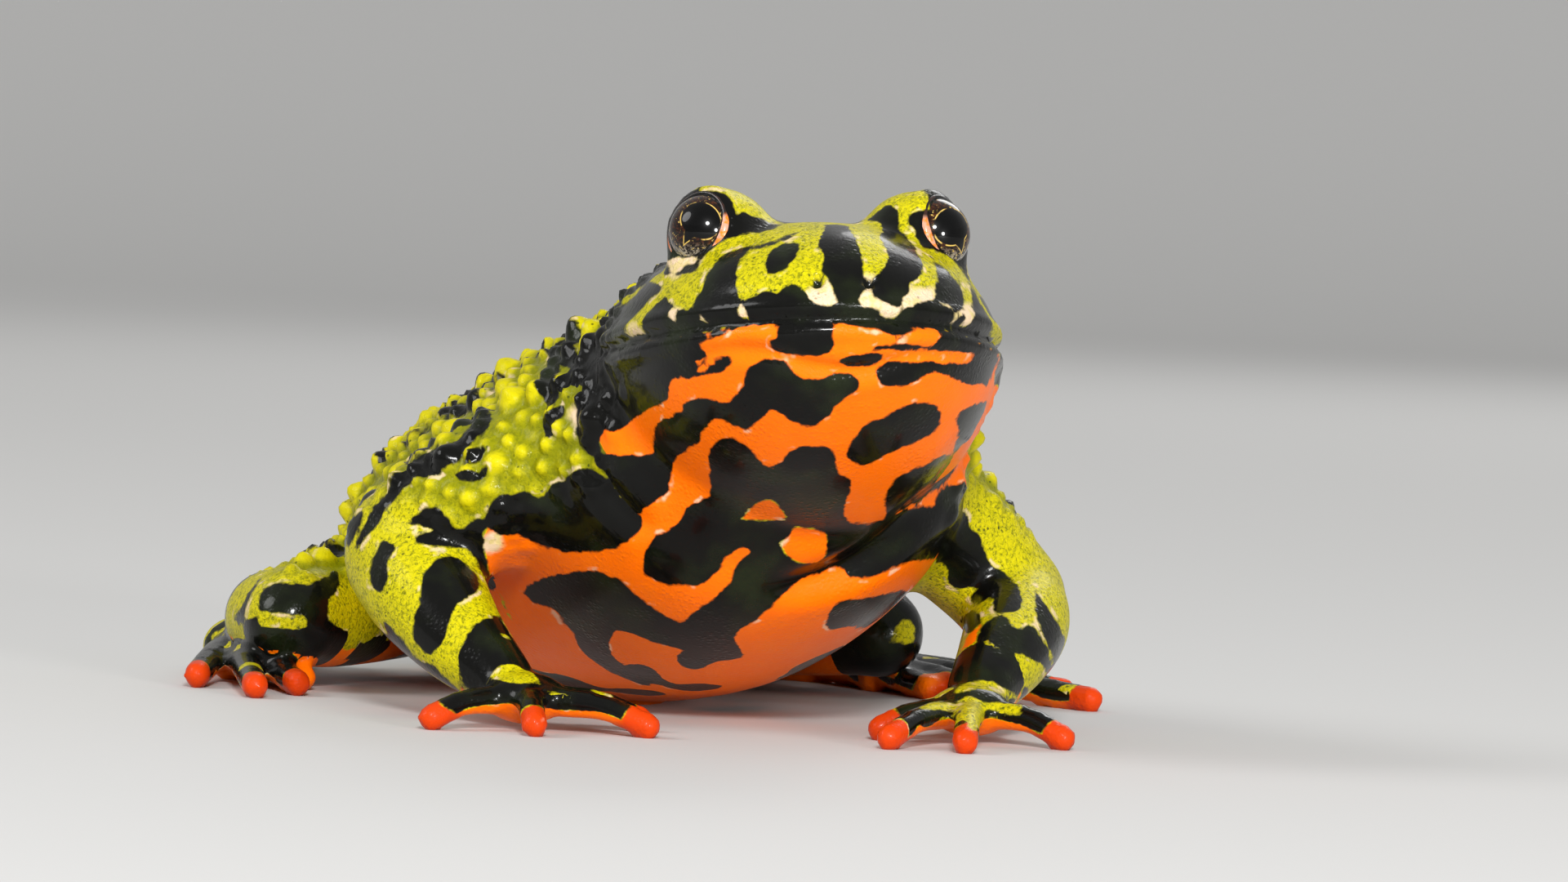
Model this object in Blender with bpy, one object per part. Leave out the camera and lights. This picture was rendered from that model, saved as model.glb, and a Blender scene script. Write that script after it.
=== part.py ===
"""Fire bellied toad, sitting with its front raised on both hands: a still, life-size model.

Every size below is in millimetres. The body's long axis runs along Y with the snout towards -Y,
the animal's own left is +X, and the floor is Z = 0. The flesh is laid up from lofts and
ellipsoids, fused by a voxel remesh, relaxed, given its warts, lips and nostrils, and then parted
into head, lower jaw, torso, limb segments, hands and feet with thin cuts.
"""

import math
import random
from functools import partial

import bmesh
import bpy
import numpy as np
from mathutils import Matrix, Vector
from mathutils.bvhtree import BVHTree

MM = 0.001
SIDES = {"right": -1, "left": 1}

# Driving sizes
GAP = 0.3
EYE_GAP = 0.12
FLESH_VOXEL = 0.25
CELL_VOXEL = 0.45
SEAT_HEIGHT = 0.13
ORIGIN_SHIFT = Vector((-1.87, -1.2, 0.0))

# Head, in its own frame: the origin lies midway between the corners of the mouth
HEAD_PLACE = Vector((0.18, -10.34, 14.2))
HEAD_YAW, HEAD_PITCH, HEAD_ROLL = -14.5, -8.8, -1.5
MOUTH_HALF_WIDTH = 7.4
MOUTH_LENGTH = 11.6
CROWN_HEIGHT = 4.6
THROAT_DEPTH = 6.2
CHIN_DEPTH = 1.3
NAPE_REACH = 4.0

# Stations along the head, and how its width and its two profiles round off towards the snout
NEAR_STATIONS, NEAR_SHARE = 18, 0.88
SNOUT_SHARES = (0.92, 0.95, 0.975, 0.99, 0.998)
WIDTH_POWER, CROWN_POWER, CHIN_POWER = 2.15, 3.4, 5.0
THROAT_POWER, THROAT_ROUNDING = 1.9, 0.77
NAPE_NARROWING, NAPE_DROP = 0.06, 0.16

# Eyes, the humps that carry them and the rims of their lids, in the head's frame
EYE_PLACE = Vector((4.26, -5.6, 3.95))
EYE_RADIUS = 1.38
EYE_AZIMUTH, EYE_RISE = 48.0, 10.0
HUMP_RADIUS, HUMP_SETBACK = 1.95, 1.0
LID_RING, LID_TUBE, LID_OFFSET, LID_BEADS = 1.47, 0.4, 0.3, 24

# Lips and nostrils, in the head's frame
LIP_RISE, LIP_SWELL, LIP_SPREAD = 0.5, 0.2, 0.34
LIP_FADE, LIP_TURN = 1.5, 1.2
NOSTRIL_PLACE = Vector((0.97, -11.02, 1.4))
NOSTRIL_RADIUS, NOSTRIL_DEPTH = 0.48, 0.45

# Torso stations along the spine: x, y, z, half width, height above and height below
TORSO = (
    (0.0, -12.6, 11.4, 5.6, 3.6, 4.2),
    (0.0, -10.0, 11.2, 7.6, 5.9, 6.3),
    (0.0, -6.0, 10.2, 8.9, 6.6, 7.6),
    (0.0, -1.0, 9.0, 9.4, 6.4, 8.2),
    (0.0, 4.0, 7.8, 9.7, 6.1, 7.8),
    (0.0, 9.0, 6.8, 9.6, 5.7, 6.9),
    (0.0, 14.0, 5.9, 8.5, 5.0, 5.9),
    (0.0, 18.5, 5.0, 6.4, 4.1, 4.5),
    (0.0, 22.0, 4.2, 4.2, 2.9, 3.0),
    (0.0, 24.0, 3.9, 1.5, 1.2, 1.2),
)
# Swellings: centre and radii, given for the left side
SHOULDER_SWELL = ((6.4, -4.6, 9.6), (3.1, 4.4, 4.0))
HIP_SWELL = ((3.8, 17.0, 4.4), (3.2, 4.4, 3.2))
NECK_SWELL = ((0.1, -8.6, 13.0), (6.8, 4.6, 4.4))

# Arm stations from shoulder to elbow and from elbow to wrist: x, y, z and radius
ARMS = {
    "right": {
        "upper": ((-6.4, -5.0, 10.0, 2.9), (-9.4, -3.6, 8.4, 2.8), (-11.8, -1.4, 6.2, 2.5)),
        "fore": (
            (-11.9, -1.4, 5.8, 2.4),
            (-11.9, -4.0, 4.6, 2.3),
            (-11.4, -6.4, 3.1, 1.8),
            (-10.6, -8.7, 1.8, 1.25),
        ),
        "palm": (-10.2, -10.2, 1.2),
        "tips": ((-5.6, -10.4), (-6.6, -13.6), (-11.1, -13.6), (-14.2, -11.0)),
    },
    "left": {
        "upper": ((6.4, -5.4, 9.2, 2.8), (9.4, -5.0, 7.2, 2.5), (12.1, -4.6, 5.0, 2.2)),
        "fore": (
            (12.1, -4.8, 4.8, 2.1),
            (11.3, -7.0, 4.1, 2.1),
            (9.6, -9.6, 3.1, 1.8),
            (7.6, -12.0, 1.9, 1.3),
        ),
        "palm": (6.6, -13.4, 1.2),
        "tips": ((3.0, -13.2), (1.5, -17.5), (3.9, -19.0), (8.9, -16.8)),
    },
}
PALM_RADII = (1.6, 1.5, 1.0)

# Fingers between palm and tip: share of the way, height above the straight line and radius
KNUCKLE_SHARE, KNUCKLE_RISE, KNUCKLE_RADIUS = 0.3, 0.15, 0.6
JOINT_SHARE, JOINT_RISE, JOINT_RADIUS = 0.65, 0.3, 0.49
FINGERTIP_RADIUS, FINGERTIP_HEIGHT = 0.5, 0.44

# Leg stations, given with x outward for either side: x, y, z and radius
THIGH = ((3.0, 17.6, 3.9, 2.7), (6.6, 15.2, 3.4, 2.65), (10.0, 12.0, 3.0, 2.35), (12.4, 9.4, 2.8, 1.95))
SHANK = ((12.6, 9.2, 2.7, 1.9), (12.2, 12.8, 2.6, 1.9), (10.4, 17.4, 2.1, 1.65), (8.2, 21.0, 1.5, 1.2))
TARSI = {
    "right": ((8.0, 21.2, 1.2, 1.15), (10.6, 20.2, 1.1, 1.1), (12.0, 18.0, 1.0, 1.2)),
    "left": ((8.4, 21.4, 1.2, 1.15), (11.6, 20.6, 1.1, 1.1), (13.6, 18.2, 1.0, 1.25)),
}
TOE_TIPS = {
    "right": ((12.4, 12.8), (12.4, 8.2), (13.7, 5.2), (16.0, 3.6), (16.6, 8.8)),
    "left": ((14.0, 12.6), (14.6, 8.4), (16.4, 5.0), (19.4, 3.2), (20.4, 8.0)),
}

# Toes between root and tip: share of the way, height above the straight line and radius
TOE_BASE_SHARE, TOE_BASE_RADIUS = 0.08, 0.75
TOE_MIDDLE_SHARE, TOE_MIDDLE_RISE, TOE_MIDDLE_RADIUS = 0.5, 0.15, 0.6
TOE_TIP_RADIUS, TOE_TIP_HEIGHT = 0.52, 0.49

# Webs: height of the underside, thickness, and how far they reach along and between the toes
WEB_BASE, WEB_THICKNESS = 0.12, 0.6
WEB_SHARE, WEB_SCALLOP = 0.5, 0.4

# Relaxing of the fused flesh: passes, and the height below which hands and feet keep their form
RELAX_PASSES, RELAX_STEP = 14, 0.6
RELAX_FLOOR, RELAX_RISE, RELAX_LEAST = 1.4, 2.4, 0.08

# Warts: seed, how many to try, least distance between two, radius range and height
WART_SEED = 11
WART_TRIES = 420
WART_SPACING = 2.5
WART_RADII = (0.75, 1.2)
WART_HEIGHT = 0.42

# Where warts sit: how finely the torso is read, the rows left bare at both ends and the
# angles to either side of the top, and the same for the upper arms
TORSO_FINENESS, TORSO_BARE = 8, (14, 8)
TORSO_WART_ANGLES = (-100.0, 100.0)
ARM_FINENESS, ARM_WART_ANGLES = 3, (-20.0, 90.0)

# How far each cell reaches beyond the form that it parts
LIMB_MARGIN = 0.5
HAND_MARGIN = 0.4
HEAD_MARGIN = 0.55
HEAD_CELL_START = 3

# Corners of the block that parts the lower jaw, in the head's frame
JAW_LOW, JAW_HIGH = Vector((-12.0, -16.0, -14.0)), Vector((12.0, 8.0, 0.0))

# Lightening: sizes of the slivers cleared first, tried in turn, and how near the floor is flat
SLIVERS = (0.03, 0.02, 0.04, 0.012, 0.05, 0.06)
FLAT_SLACK = 0.05

# Triangles that each node keeps
BUDGET = {
    "head": 3200,
    "lower_jaw": 1000,
    "torso": 4600,
    "upper_arm": 420,
    "forearm": 380,
    "hand": 580,
    "thigh": 420,
    "shank": 340,
    "foot": 720,
}

# Shading and colours of the plain solids
SHARP_ANGLE = 50.0
ROUGHNESS = 0.4
COLOURS = {
    "head": (0.42, 0.5, 0.03, 1.0),
    "lower_jaw": (0.85, 0.2, 0.01, 1.0),
    "torso": (0.3, 0.38, 0.03, 1.0),
    "eye": (0.03, 0.02, 0.01, 1.0),
    "limb": (0.2, 0.26, 0.03, 1.0),
}


def head_matrix():
    """The head's own frame in the toad's frame."""
    turn = (
        Matrix.Rotation(math.radians(HEAD_YAW), 4, "Z")
        @ Matrix.Rotation(math.radians(HEAD_PITCH), 4, "X")
        @ Matrix.Rotation(math.radians(HEAD_ROLL), 4, "Y")
    )
    return Matrix.Translation(HEAD_PLACE) @ turn


def eye_centre(side):
    """Centre of the eyeball on one side, in the head's frame."""
    return Vector((side * EYE_PLACE.x, EYE_PLACE.y, EYE_PLACE.z))


def gaze(side):
    """Direction in which the eye on one side looks, in the head's frame."""
    azimuth, rise = math.radians(EYE_AZIMUTH), math.radians(EYE_RISE)
    flat = math.cos(rise)
    return Vector((side * math.sin(azimuth) * flat, -math.cos(azimuth) * flat, math.sin(rise)))


def mirrored(stations, side):
    """Stations given for the left side, on the side asked for: -1 is right."""
    return [(side * row[0], *row[1:]) for row in stations]


def smooth_path(stations, per_span=4):
    """The stations with more read between them along a Catmull-Rom curve."""
    rows = np.array(stations, float)
    ends = np.vstack([2 * rows[0] - rows[1], rows, 2 * rows[-1] - rows[-2]])
    path = []
    for k in range(len(rows) - 1):
        a, b, c, d = ends[k : k + 4]
        for t in np.arange(per_span) / per_span:
            bend = (2 * a - 5 * b + 4 * c - d) * t**2 + (3 * b - a - 3 * c + d) * t**3
            path.append(0.5 * (2 * b + (c - a) * t + bend))
    path.append(rows[-1])
    return np.array(path)


def loft(bm, rows, sides, place=Matrix.Identity(4)):
    """Adds a closed loft through rows of x, y, z, half width, height above and height below."""
    rings = []
    for row, tangent in zip(rows, np.gradient(rows[:, :3], axis=0)):
        along = Vector(tangent).normalized()
        side = along.cross(Vector((0, 0, 1))).normalized()
        rise = side.cross(along)
        ring = bmesh.ops.create_circle(bm, radius=1.0, segments=sides)["verts"]
        edges = list({edge for vert in ring for edge in vert.link_edges})
        for vert in ring:
            height = vert.co.y * (row[4] if vert.co.y > 0 else row[5])
            vert.co = place @ (Vector(row[:3]) + side * vert.co.x * row[3] + rise * height)
        rings.append((ring, edges))
    for (_, first), (_, second) in zip(rings, rings[1:]):
        bmesh.ops.bridge_loops(bm, edges=first + second)
    for ring, _ in (rings[0], rings[-1]):
        bm.faces.new(ring)


def ball(bm, centre, radii, place=Matrix.Identity(4)):
    """Adds a closed ellipsoid."""
    shape = Matrix.Translation(Vector(centre)) @ Matrix.Diagonal(Vector((*radii, 1.0)))
    bmesh.ops.create_icosphere(bm, subdivisions=3, radius=1.0, matrix=place @ shape)


def limb(bm, stations, extra=0.0, sides=20):
    """Adds a limb of round sections with a ball at each end, grown by an extra radius."""
    rows = smooth_path(stations)
    rows[:, 3] += extra
    loft(bm, np.column_stack([rows, rows[:, 3], rows[:, 3]]), sides)
    for end in (rows[0], rows[-1]):
        ball(bm, end[:3], (end[3],) * 3)


def head_rows(extra=0.0):
    """Head sections from the nape to the snout, from the mouth's outline and two profiles."""
    near = np.linspace(-NAPE_REACH, MOUTH_LENGTH * NEAR_SHARE, NEAR_STATIONS)
    tip = MOUTH_LENGTH * np.array(SNOUT_SHARES)
    stretch = 1 + extra / MOUTH_LENGTH
    rows = []
    for reach in np.append(near, tip):
        share = max(reach, 0.0) / MOUTH_LENGTH
        drop = (min(reach, 0.0) / NAPE_REACH) ** 2
        dip = (reach + NAPE_REACH) / (MOUTH_LENGTH + NAPE_REACH)
        width = MOUTH_HALF_WIDTH * (math.sqrt(1 - share**WIDTH_POWER) - NAPE_NARROWING * drop)
        crown = CROWN_HEIGHT * (math.sqrt(1 - share**CROWN_POWER) - NAPE_DROP * drop)
        throat = THROAT_DEPTH * (1 - dip**THROAT_POWER) ** THROAT_ROUNDING
        below = throat + CHIN_DEPTH * math.sqrt(1 - share**CHIN_POWER)
        rows.append((0, -reach * stretch, 0, width + extra, crown + extra, below + extra))
    return np.array(rows)


def swell(bm, form, side=1):
    """Adds a swelling given for the left side."""
    (x, y, z), radii = form
    ball(bm, (side * x, y, z), radii)


def add_lid(bm, side, place):
    """The rounded rim of the lids around one eye."""
    look = gaze(side)
    centre = eye_centre(side) + look * LID_OFFSET
    across = look.cross(Vector((0, 0, 1))).normalized()
    rise = across.cross(look)
    for k in range(LID_BEADS):
        angle = 2 * math.pi * k / LID_BEADS
        spot = centre + (across * math.cos(angle) + rise * math.sin(angle)) * LID_RING
        ball(bm, spot, (LID_TUBE,) * 3, place)


def add_trunk(bm):
    """Head with its eye humps and lids, and torso, as overlapping closed forms."""
    head = head_matrix()
    loft(bm, smooth_path(TORSO), sides=40)
    loft(bm, head_rows(), sides=40, place=head)
    swell(bm, NECK_SWELL)
    for side in SIDES.values():
        swell(bm, SHOULDER_SWELL, side)
        swell(bm, HIP_SWELL, side)
        ball(bm, eye_centre(side) - gaze(side) * HUMP_SETBACK, (HUMP_RADIUS,) * 3, head)
        add_lid(bm, side, head)


def add_hand(bm, arm, extra=0.0):
    """Palm and four fingers."""
    palm = Vector(arm["palm"])
    ball(bm, palm, [radius + extra for radius in PALM_RADII])
    for x, y in arm["tips"]:
        end = Vector((x, y, FINGERTIP_HEIGHT))
        knuckle = palm.lerp(end, KNUCKLE_SHARE) + Vector((0, 0, KNUCKLE_RISE))
        joint = palm.lerp(end, JOINT_SHARE) + Vector((0, 0, JOINT_RISE))
        ends = ((*knuckle, KNUCKLE_RADIUS), (*joint, JOINT_RADIUS), (*end, FINGERTIP_RADIUS))
        limb(bm, ends, extra, sides=14)


def add_web(bm, root, first, second, extra):
    """The web between two toes, scalloped at its free edge."""
    between = root.lerp((first + second) / 2, WEB_SCALLOP)
    corners = [root, root.lerp(first, WEB_SHARE), between, root.lerp(second, WEB_SHARE)]
    web = bm.faces.new([bm.verts.new((c.x, c.y, WEB_BASE - extra)) for c in corners])
    made = bmesh.ops.extrude_face_region(bm, geom=[web])["geom"]
    raised = [item for item in made if isinstance(item, bmesh.types.BMVert)]
    bmesh.ops.translate(bm, verts=raised, vec=(0, 0, WEB_THICKNESS + 2 * extra))


def add_foot(bm, name, extra=0.0):
    """Tarsus, five toes and the webs between them."""
    side = SIDES[name]
    tarsus = mirrored(TARSI[name], side)
    limb(bm, tarsus, extra)
    root = Vector(tarsus[-1][:3])
    tips = [Vector((side * x, y, TOE_TIP_HEIGHT)) for x, y in TOE_TIPS[name]]
    for tip in tips:
        base = root.lerp(tip, TOE_BASE_SHARE)
        middle = root.lerp(tip, TOE_MIDDLE_SHARE) + Vector((0, 0, TOE_MIDDLE_RISE))
        ends = ((*base, TOE_BASE_RADIUS), (*middle, TOE_MIDDLE_RADIUS), (*tip, TOE_TIP_RADIUS))
        limb(bm, ends, extra, sides=14)
    for first, second in zip(tips, tips[1:]):
        add_web(bm, root, first, second, extra)


def add_flesh(bm):
    """The whole toad but for its eyeballs."""
    add_trunk(bm)
    for arm in ARMS.values():
        limb(bm, arm["upper"])
        limb(bm, arm["fore"])
        add_hand(bm, arm)
    for name, side in SIDES.items():
        limb(bm, mirrored(THIGH, side))
        limb(bm, mirrored(SHANK, side))
        add_foot(bm, name)


def add_eye(bm, side, extra=0.0):
    """One eyeball, grown by an extra radius."""
    ball(bm, eye_centre(side), (EYE_RADIUS + extra,) * 3, head_matrix())


def add_hull(bm, add):
    """Adds the convex hull of the forms that a function adds."""
    forms = bmesh.new()
    add(forms)
    points = [vert.co.copy() for vert in forms.verts]
    forms.free()
    made = bmesh.ops.convex_hull(bm, input=[bm.verts.new(point) for point in points])
    inside = [item for item in made["geom_interior"] if isinstance(item, bmesh.types.BMVert)]
    bmesh.ops.delete(bm, geom=inside, context="VERTS")


def add_head_forms(bm, extra):
    """The head in front of the nape, grown by an extra width."""
    head = head_matrix()
    loft(bm, head_rows(extra + HEAD_MARGIN)[HEAD_CELL_START:], sides=32, place=head)
    for side in SIDES.values():
        radius = LID_RING + LID_TUBE + HEAD_MARGIN + extra
        ball(bm, eye_centre(side), (radius,) * 3, head)


def head_cell(bm, extra):
    """A hull around the head in front of the nape."""
    add_hull(bm, partial(add_head_forms, extra=extra))


def hand_cell(bm, extra, arm):
    """A hull around one hand."""
    add_hull(bm, partial(add_hand, arm=arm, extra=HAND_MARGIN + extra))


def foot_cell(bm, extra, name):
    """The foot's own form, grown."""
    add_foot(bm, name, HAND_MARGIN + extra)


def limb_cell(bm, extra, stations):
    """A limb segment's own form, grown."""
    limb(bm, stations, LIMB_MARGIN + extra)


def jaw_cell(bm, extra):
    """Everything below the line of the mouth."""
    high = JAW_HIGH + Vector((0, 0, extra - GAP / 2))
    shape = Matrix.Translation((JAW_LOW + high) / 2) @ Matrix.Diagonal((*(high - JAW_LOW), 1.0))
    bmesh.ops.create_cube(bm, size=1.0, matrix=head_matrix() @ shape)


def new_object(name, bm):
    """An object made of the working mesh, whose sizes are in millimetres."""
    bmesh.ops.scale(bm, vec=(MM, MM, MM), verts=bm.verts)
    mesh = bpy.data.meshes.new(name)
    bm.to_mesh(mesh)
    bm.free()
    obj = bpy.data.objects.new(name, mesh)
    bpy.context.scene.collection.objects.link(obj)
    return obj


def settle(obj):
    """Puts what the modifiers make into the object's own mesh."""
    graph = bpy.context.evaluated_depsgraph_get()
    mesh = bpy.data.meshes.new_from_object(obj.evaluated_get(graph))
    old = obj.data
    obj.modifiers.clear()
    obj.data = mesh
    bpy.data.meshes.remove(old)


def fused(name, add, voxel):
    """The overlapping forms that a function adds, fused into one closed skin."""
    bm = bmesh.new()
    add(bm)
    bmesh.ops.recalc_face_normals(bm, faces=bm.faces)
    obj = new_object(name, bm)
    remesh = obj.modifiers.new("fuse", "REMESH")
    remesh.mode = "VOXEL"
    remesh.voxel_size = voxel * MM
    settle(obj)
    return obj


def read_points(mesh):
    """Vertex positions in millimetres."""
    flat = np.empty(len(mesh.vertices) * 3)
    mesh.vertices.foreach_get("co", flat)
    return flat.reshape(-1, 3) / MM


def read_normals(mesh):
    """Vertex normals."""
    flat = np.empty(len(mesh.vertices) * 3)
    mesh.vertex_normals.foreach_get("vector", flat)
    return flat.reshape(-1, 3)


def write_points(mesh, points):
    """Puts vertex positions given in millimetres back into the mesh."""
    mesh.vertices.foreach_set("co", (points * MM).ravel())
    mesh.update()


def relax(mesh):
    """Smooths the joins between the forms, and hands and feet hardly at all."""
    points = read_points(mesh)
    ends = np.empty(len(mesh.edges) * 2, int)
    mesh.edges.foreach_get("vertices", ends)
    first, second = ends.reshape(-1, 2).T
    count = np.bincount(ends, minlength=len(points))[:, None]
    weight = np.clip((points[:, 2:] - RELAX_FLOOR) / RELAX_RISE, RELAX_LEAST, 1.0) * RELAX_STEP
    for _ in range(RELAX_PASSES):
        total = np.zeros_like(points)
        for axis in range(3):
            total[:, axis] = np.bincount(first, points[second, axis], len(points))
            total[:, axis] += np.bincount(second, points[first, axis], len(points))
        points += weight * (total / count - points)
    write_points(mesh, points)


def bump(distance, radius):
    """A smooth swell from 1 at its middle to 0 at its radius."""
    return np.clip(1 - (distance / radius) ** 2, 0, None) ** 2


def shape_head(mesh):
    """Lips along the line of the mouth, and the nostrils."""
    points, normals = read_points(mesh), read_normals(mesh)
    inverse = np.array(head_matrix().inverted())
    local = points @ inverse[:3, :3].T + inverse[:3, 3]
    facing = normals @ inverse[:3, :3].T
    on_lip = np.clip(-local[:, 1] / LIP_FADE, 0, 1)
    on_lip *= np.clip(LIP_TURN - np.abs(facing[:, 2]), 0, 1)
    height = np.abs(local[:, 2]) - LIP_RISE
    push = LIP_SWELL * np.exp(-((height / LIP_SPREAD) ** 2)) * on_lip
    for side in SIDES.values():
        away = np.linalg.norm(local - np.array(NOSTRIL_PLACE) * (side, 1, 1), axis=1)
        push -= NOSTRIL_DEPTH * bump(away, NOSTRIL_RADIUS)
    write_points(mesh, points + normals * push[:, None])


def wart_seats():
    """Points near the skin of back, flanks and upper arms, with the radius of each wart."""
    pick = random.Random(WART_SEED)
    torso = smooth_path(TORSO, TORSO_FINENESS)
    first, last = TORSO_BARE[0], len(torso) - TORSO_BARE[1]
    seats = []
    for _ in range(WART_TRIES):
        row = torso[pick.randrange(first, last)]
        angle = math.radians(pick.uniform(*TORSO_WART_ANGLES))
        spot = Vector((math.sin(angle) * row[3], row[1], row[2] + math.cos(angle) * row[4]))
        radius = pick.uniform(*WART_RADII)
        if all((spot - other).length > WART_SPACING for other, _ in seats):
            seats.append((spot, radius))
    for arm in ARMS.values():
        for row in smooth_path(arm["upper"], ARM_FINENESS):
            angle = math.radians(pick.uniform(*ARM_WART_ANGLES))
            outward = Vector((math.copysign(math.sin(angle), row[0]), 0, math.cos(angle)))
            seats.append((Vector(row[:3]) + outward * float(row[3]), pick.uniform(*WART_RADII)))
    return seats


def raise_warts(mesh):
    """Raises rounded warts on the skin."""
    points, normals = read_points(mesh), read_normals(mesh)
    tree = BVHTree.FromPolygons(points.tolist(), [tuple(face.vertices) for face in mesh.polygons])
    push = np.zeros(len(points))
    for spot, radius in wart_seats():
        middle = np.array(tree.find_nearest(spot)[0])
        away = np.linalg.norm(points - middle, axis=1)
        push = np.maximum(push, WART_HEIGHT * radius / WART_RADII[1] * bump(away, radius))
    write_points(mesh, points + normals * push[:, None])


def seat(mesh, height):
    """Presses everything lower than a height onto small flats at the level of the floor."""
    points = read_points(mesh)
    points[points[:, 2] < height, 2] = 0
    write_points(mesh, points)


def combined(obj, operation, cutter):
    """Applies one Boolean with a cutter."""
    cut = obj.modifiers.new("cut", "BOOLEAN")
    cut.operation = operation
    cut.solver = "MANIFOLD"
    cut.object = cutter
    settle(obj)


def carved(flesh, name, cell):
    """Parts a node from the flesh: what lies inside the cell, with a gap left around it."""
    close = fused("cell", partial(cell, extra=0.0), CELL_VOXEL)
    wide = fused("wide_cell", partial(cell, extra=GAP), CELL_VOXEL)
    node = flesh.copy()
    node.name = name
    node.data = flesh.data.copy()
    bpy.context.scene.collection.objects.link(node)
    combined(node, "INTERSECT", close)
    combined(flesh, "DIFFERENCE", wide)
    for cutter in (close, wide):
        bpy.data.objects.remove(cutter)
    return node


def keep_largest_shell(obj):
    """Keeps only the largest closed surface of a node."""
    bm = bmesh.new()
    bm.from_mesh(obj.data)
    left, shells = set(bm.verts), []
    while left:
        shell, edge = set(), [left.pop()]
        while edge:
            vert = edge.pop()
            shell.add(vert)
            near = {link.other_vert(vert) for link in vert.link_edges} & left
            left -= near
            edge.extend(near)
        shells.append(shell)
    largest = max(shells, key=len)
    bmesh.ops.delete(bm, geom=[vert for vert in bm.verts if vert not in largest], context="VERTS")
    bm.to_mesh(obj.data)
    bm.free()


def is_closed(mesh):
    """Whether every edge joins exactly two faces."""
    bm = bmesh.new()
    bm.from_mesh(mesh)
    closed = all(edge.is_manifold for edge in bm.edges)
    bm.free()
    return closed


def without_slivers(mesh, size):
    """A triangulated copy of the mesh without edges and faces smaller than a size."""
    bm = bmesh.new()
    bm.from_mesh(mesh)
    bmesh.ops.triangulate(bm, faces=bm.faces)
    bmesh.ops.remove_doubles(bm, verts=bm.verts, dist=size * MM)
    bmesh.ops.dissolve_degenerate(bm, edges=bm.edges, dist=size * MM)
    bmesh.ops.triangulate(bm, faces=bm.faces)
    clear = mesh.copy()
    bm.to_mesh(clear)
    bm.free()
    return clear


def lighten(obj, budget):
    """Clears the slivers that cutting leaves and brings a node down to its triangles."""
    full = obj.data
    for size in SLIVERS:
        obj.data = without_slivers(full, size)
        reduce = obj.modifiers.new("reduce", "DECIMATE")
        reduce.ratio = min(1.0, budget / len(obj.data.polygons))
        settle(obj)
        if is_closed(obj.data):
            break
    points = read_points(obj.data)
    points[points[:, 2] < FLAT_SLACK, 2] = 0
    write_points(obj.data, points)


def finish(obj, kind):
    """Shades a node smooth and gives it a plain material of its own."""
    obj.data.name = obj.name
    obj.data.transform(Matrix.Translation(ORIGIN_SHIFT * MM))
    obj.data.shade_smooth()
    obj.data.set_sharp_from_angle(angle=math.radians(SHARP_ANGLE))
    material = bpy.data.materials.new(obj.name)
    material.use_nodes = True
    shader = material.node_tree.nodes["Principled BSDF"]
    shader.inputs["Base Color"].default_value = COLOURS.get(kind, COLOURS["limb"])
    shader.inputs["Roughness"].default_value = ROUGHNESS
    obj.data.materials.clear()
    obj.data.materials.append(material)


def main():
    """Builds the toad."""
    for obj in list(bpy.data.objects):
        bpy.data.objects.remove(obj)
    torso = fused("torso", add_flesh, FLESH_VOXEL)
    relax(torso.data)
    shape_head(torso.data)
    raise_warts(torso.data)
    seat(torso.data, SEAT_HEIGHT)

    for side in SIDES.values():
        socket = fused("socket", partial(add_eye, side=side, extra=EYE_GAP), EYE_GAP)
        combined(torso, "DIFFERENCE", socket)
        bpy.data.objects.remove(socket)

    cells = {"head": head_cell}
    for name, side in SIDES.items():
        arm = ARMS[name]
        cells["hand_" + name] = partial(hand_cell, arm=arm)
        cells["forearm_" + name] = partial(limb_cell, stations=arm["fore"])
        cells["upper_arm_" + name] = partial(limb_cell, stations=arm["upper"])
        cells["foot_" + name] = partial(foot_cell, name=name)
        cells["shank_" + name] = partial(limb_cell, stations=mirrored(SHANK, side))
        cells["thigh_" + name] = partial(limb_cell, stations=mirrored(THIGH, side))
    nodes = {name: carved(torso, name, cell) for name, cell in cells.items()}
    nodes["lower_jaw"] = carved(nodes["head"], "lower_jaw", jaw_cell)
    nodes["torso"] = torso

    for name, node in nodes.items():
        kind = name.removesuffix("_right").removesuffix("_left")
        keep_largest_shell(node)
        lighten(node, BUDGET[kind])
        finish(node, kind)
    for name, side in SIDES.items():
        bm = bmesh.new()
        add_eye(bm, side)
        finish(new_object("eye_" + name, bm), "eye")


if __name__ == "__main__":
    main()
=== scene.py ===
"""Fire bellied toad sitting with its front raised on both hands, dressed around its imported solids.

Sizes are in millimetres and angles in degrees, and meshes are brought to metres as they are made.
The body's long axis runs along Y with the snout towards -Y, the animal's own left is +X and the
floor is Z = 0. Markings are outlined where the camera sees them, in the pixels of a frame of
1920 x 1080, and carry on around the body as seeded blotches and bands.
"""

import logging
import math
import random
from collections.abc import Callable
from dataclasses import dataclass
from enum import Enum

import bmesh
import bpy
import numpy as np
from mathutils import Matrix, Vector
from mathutils.bvhtree import BVHTree
from mathutils.kdtree import KDTree

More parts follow.
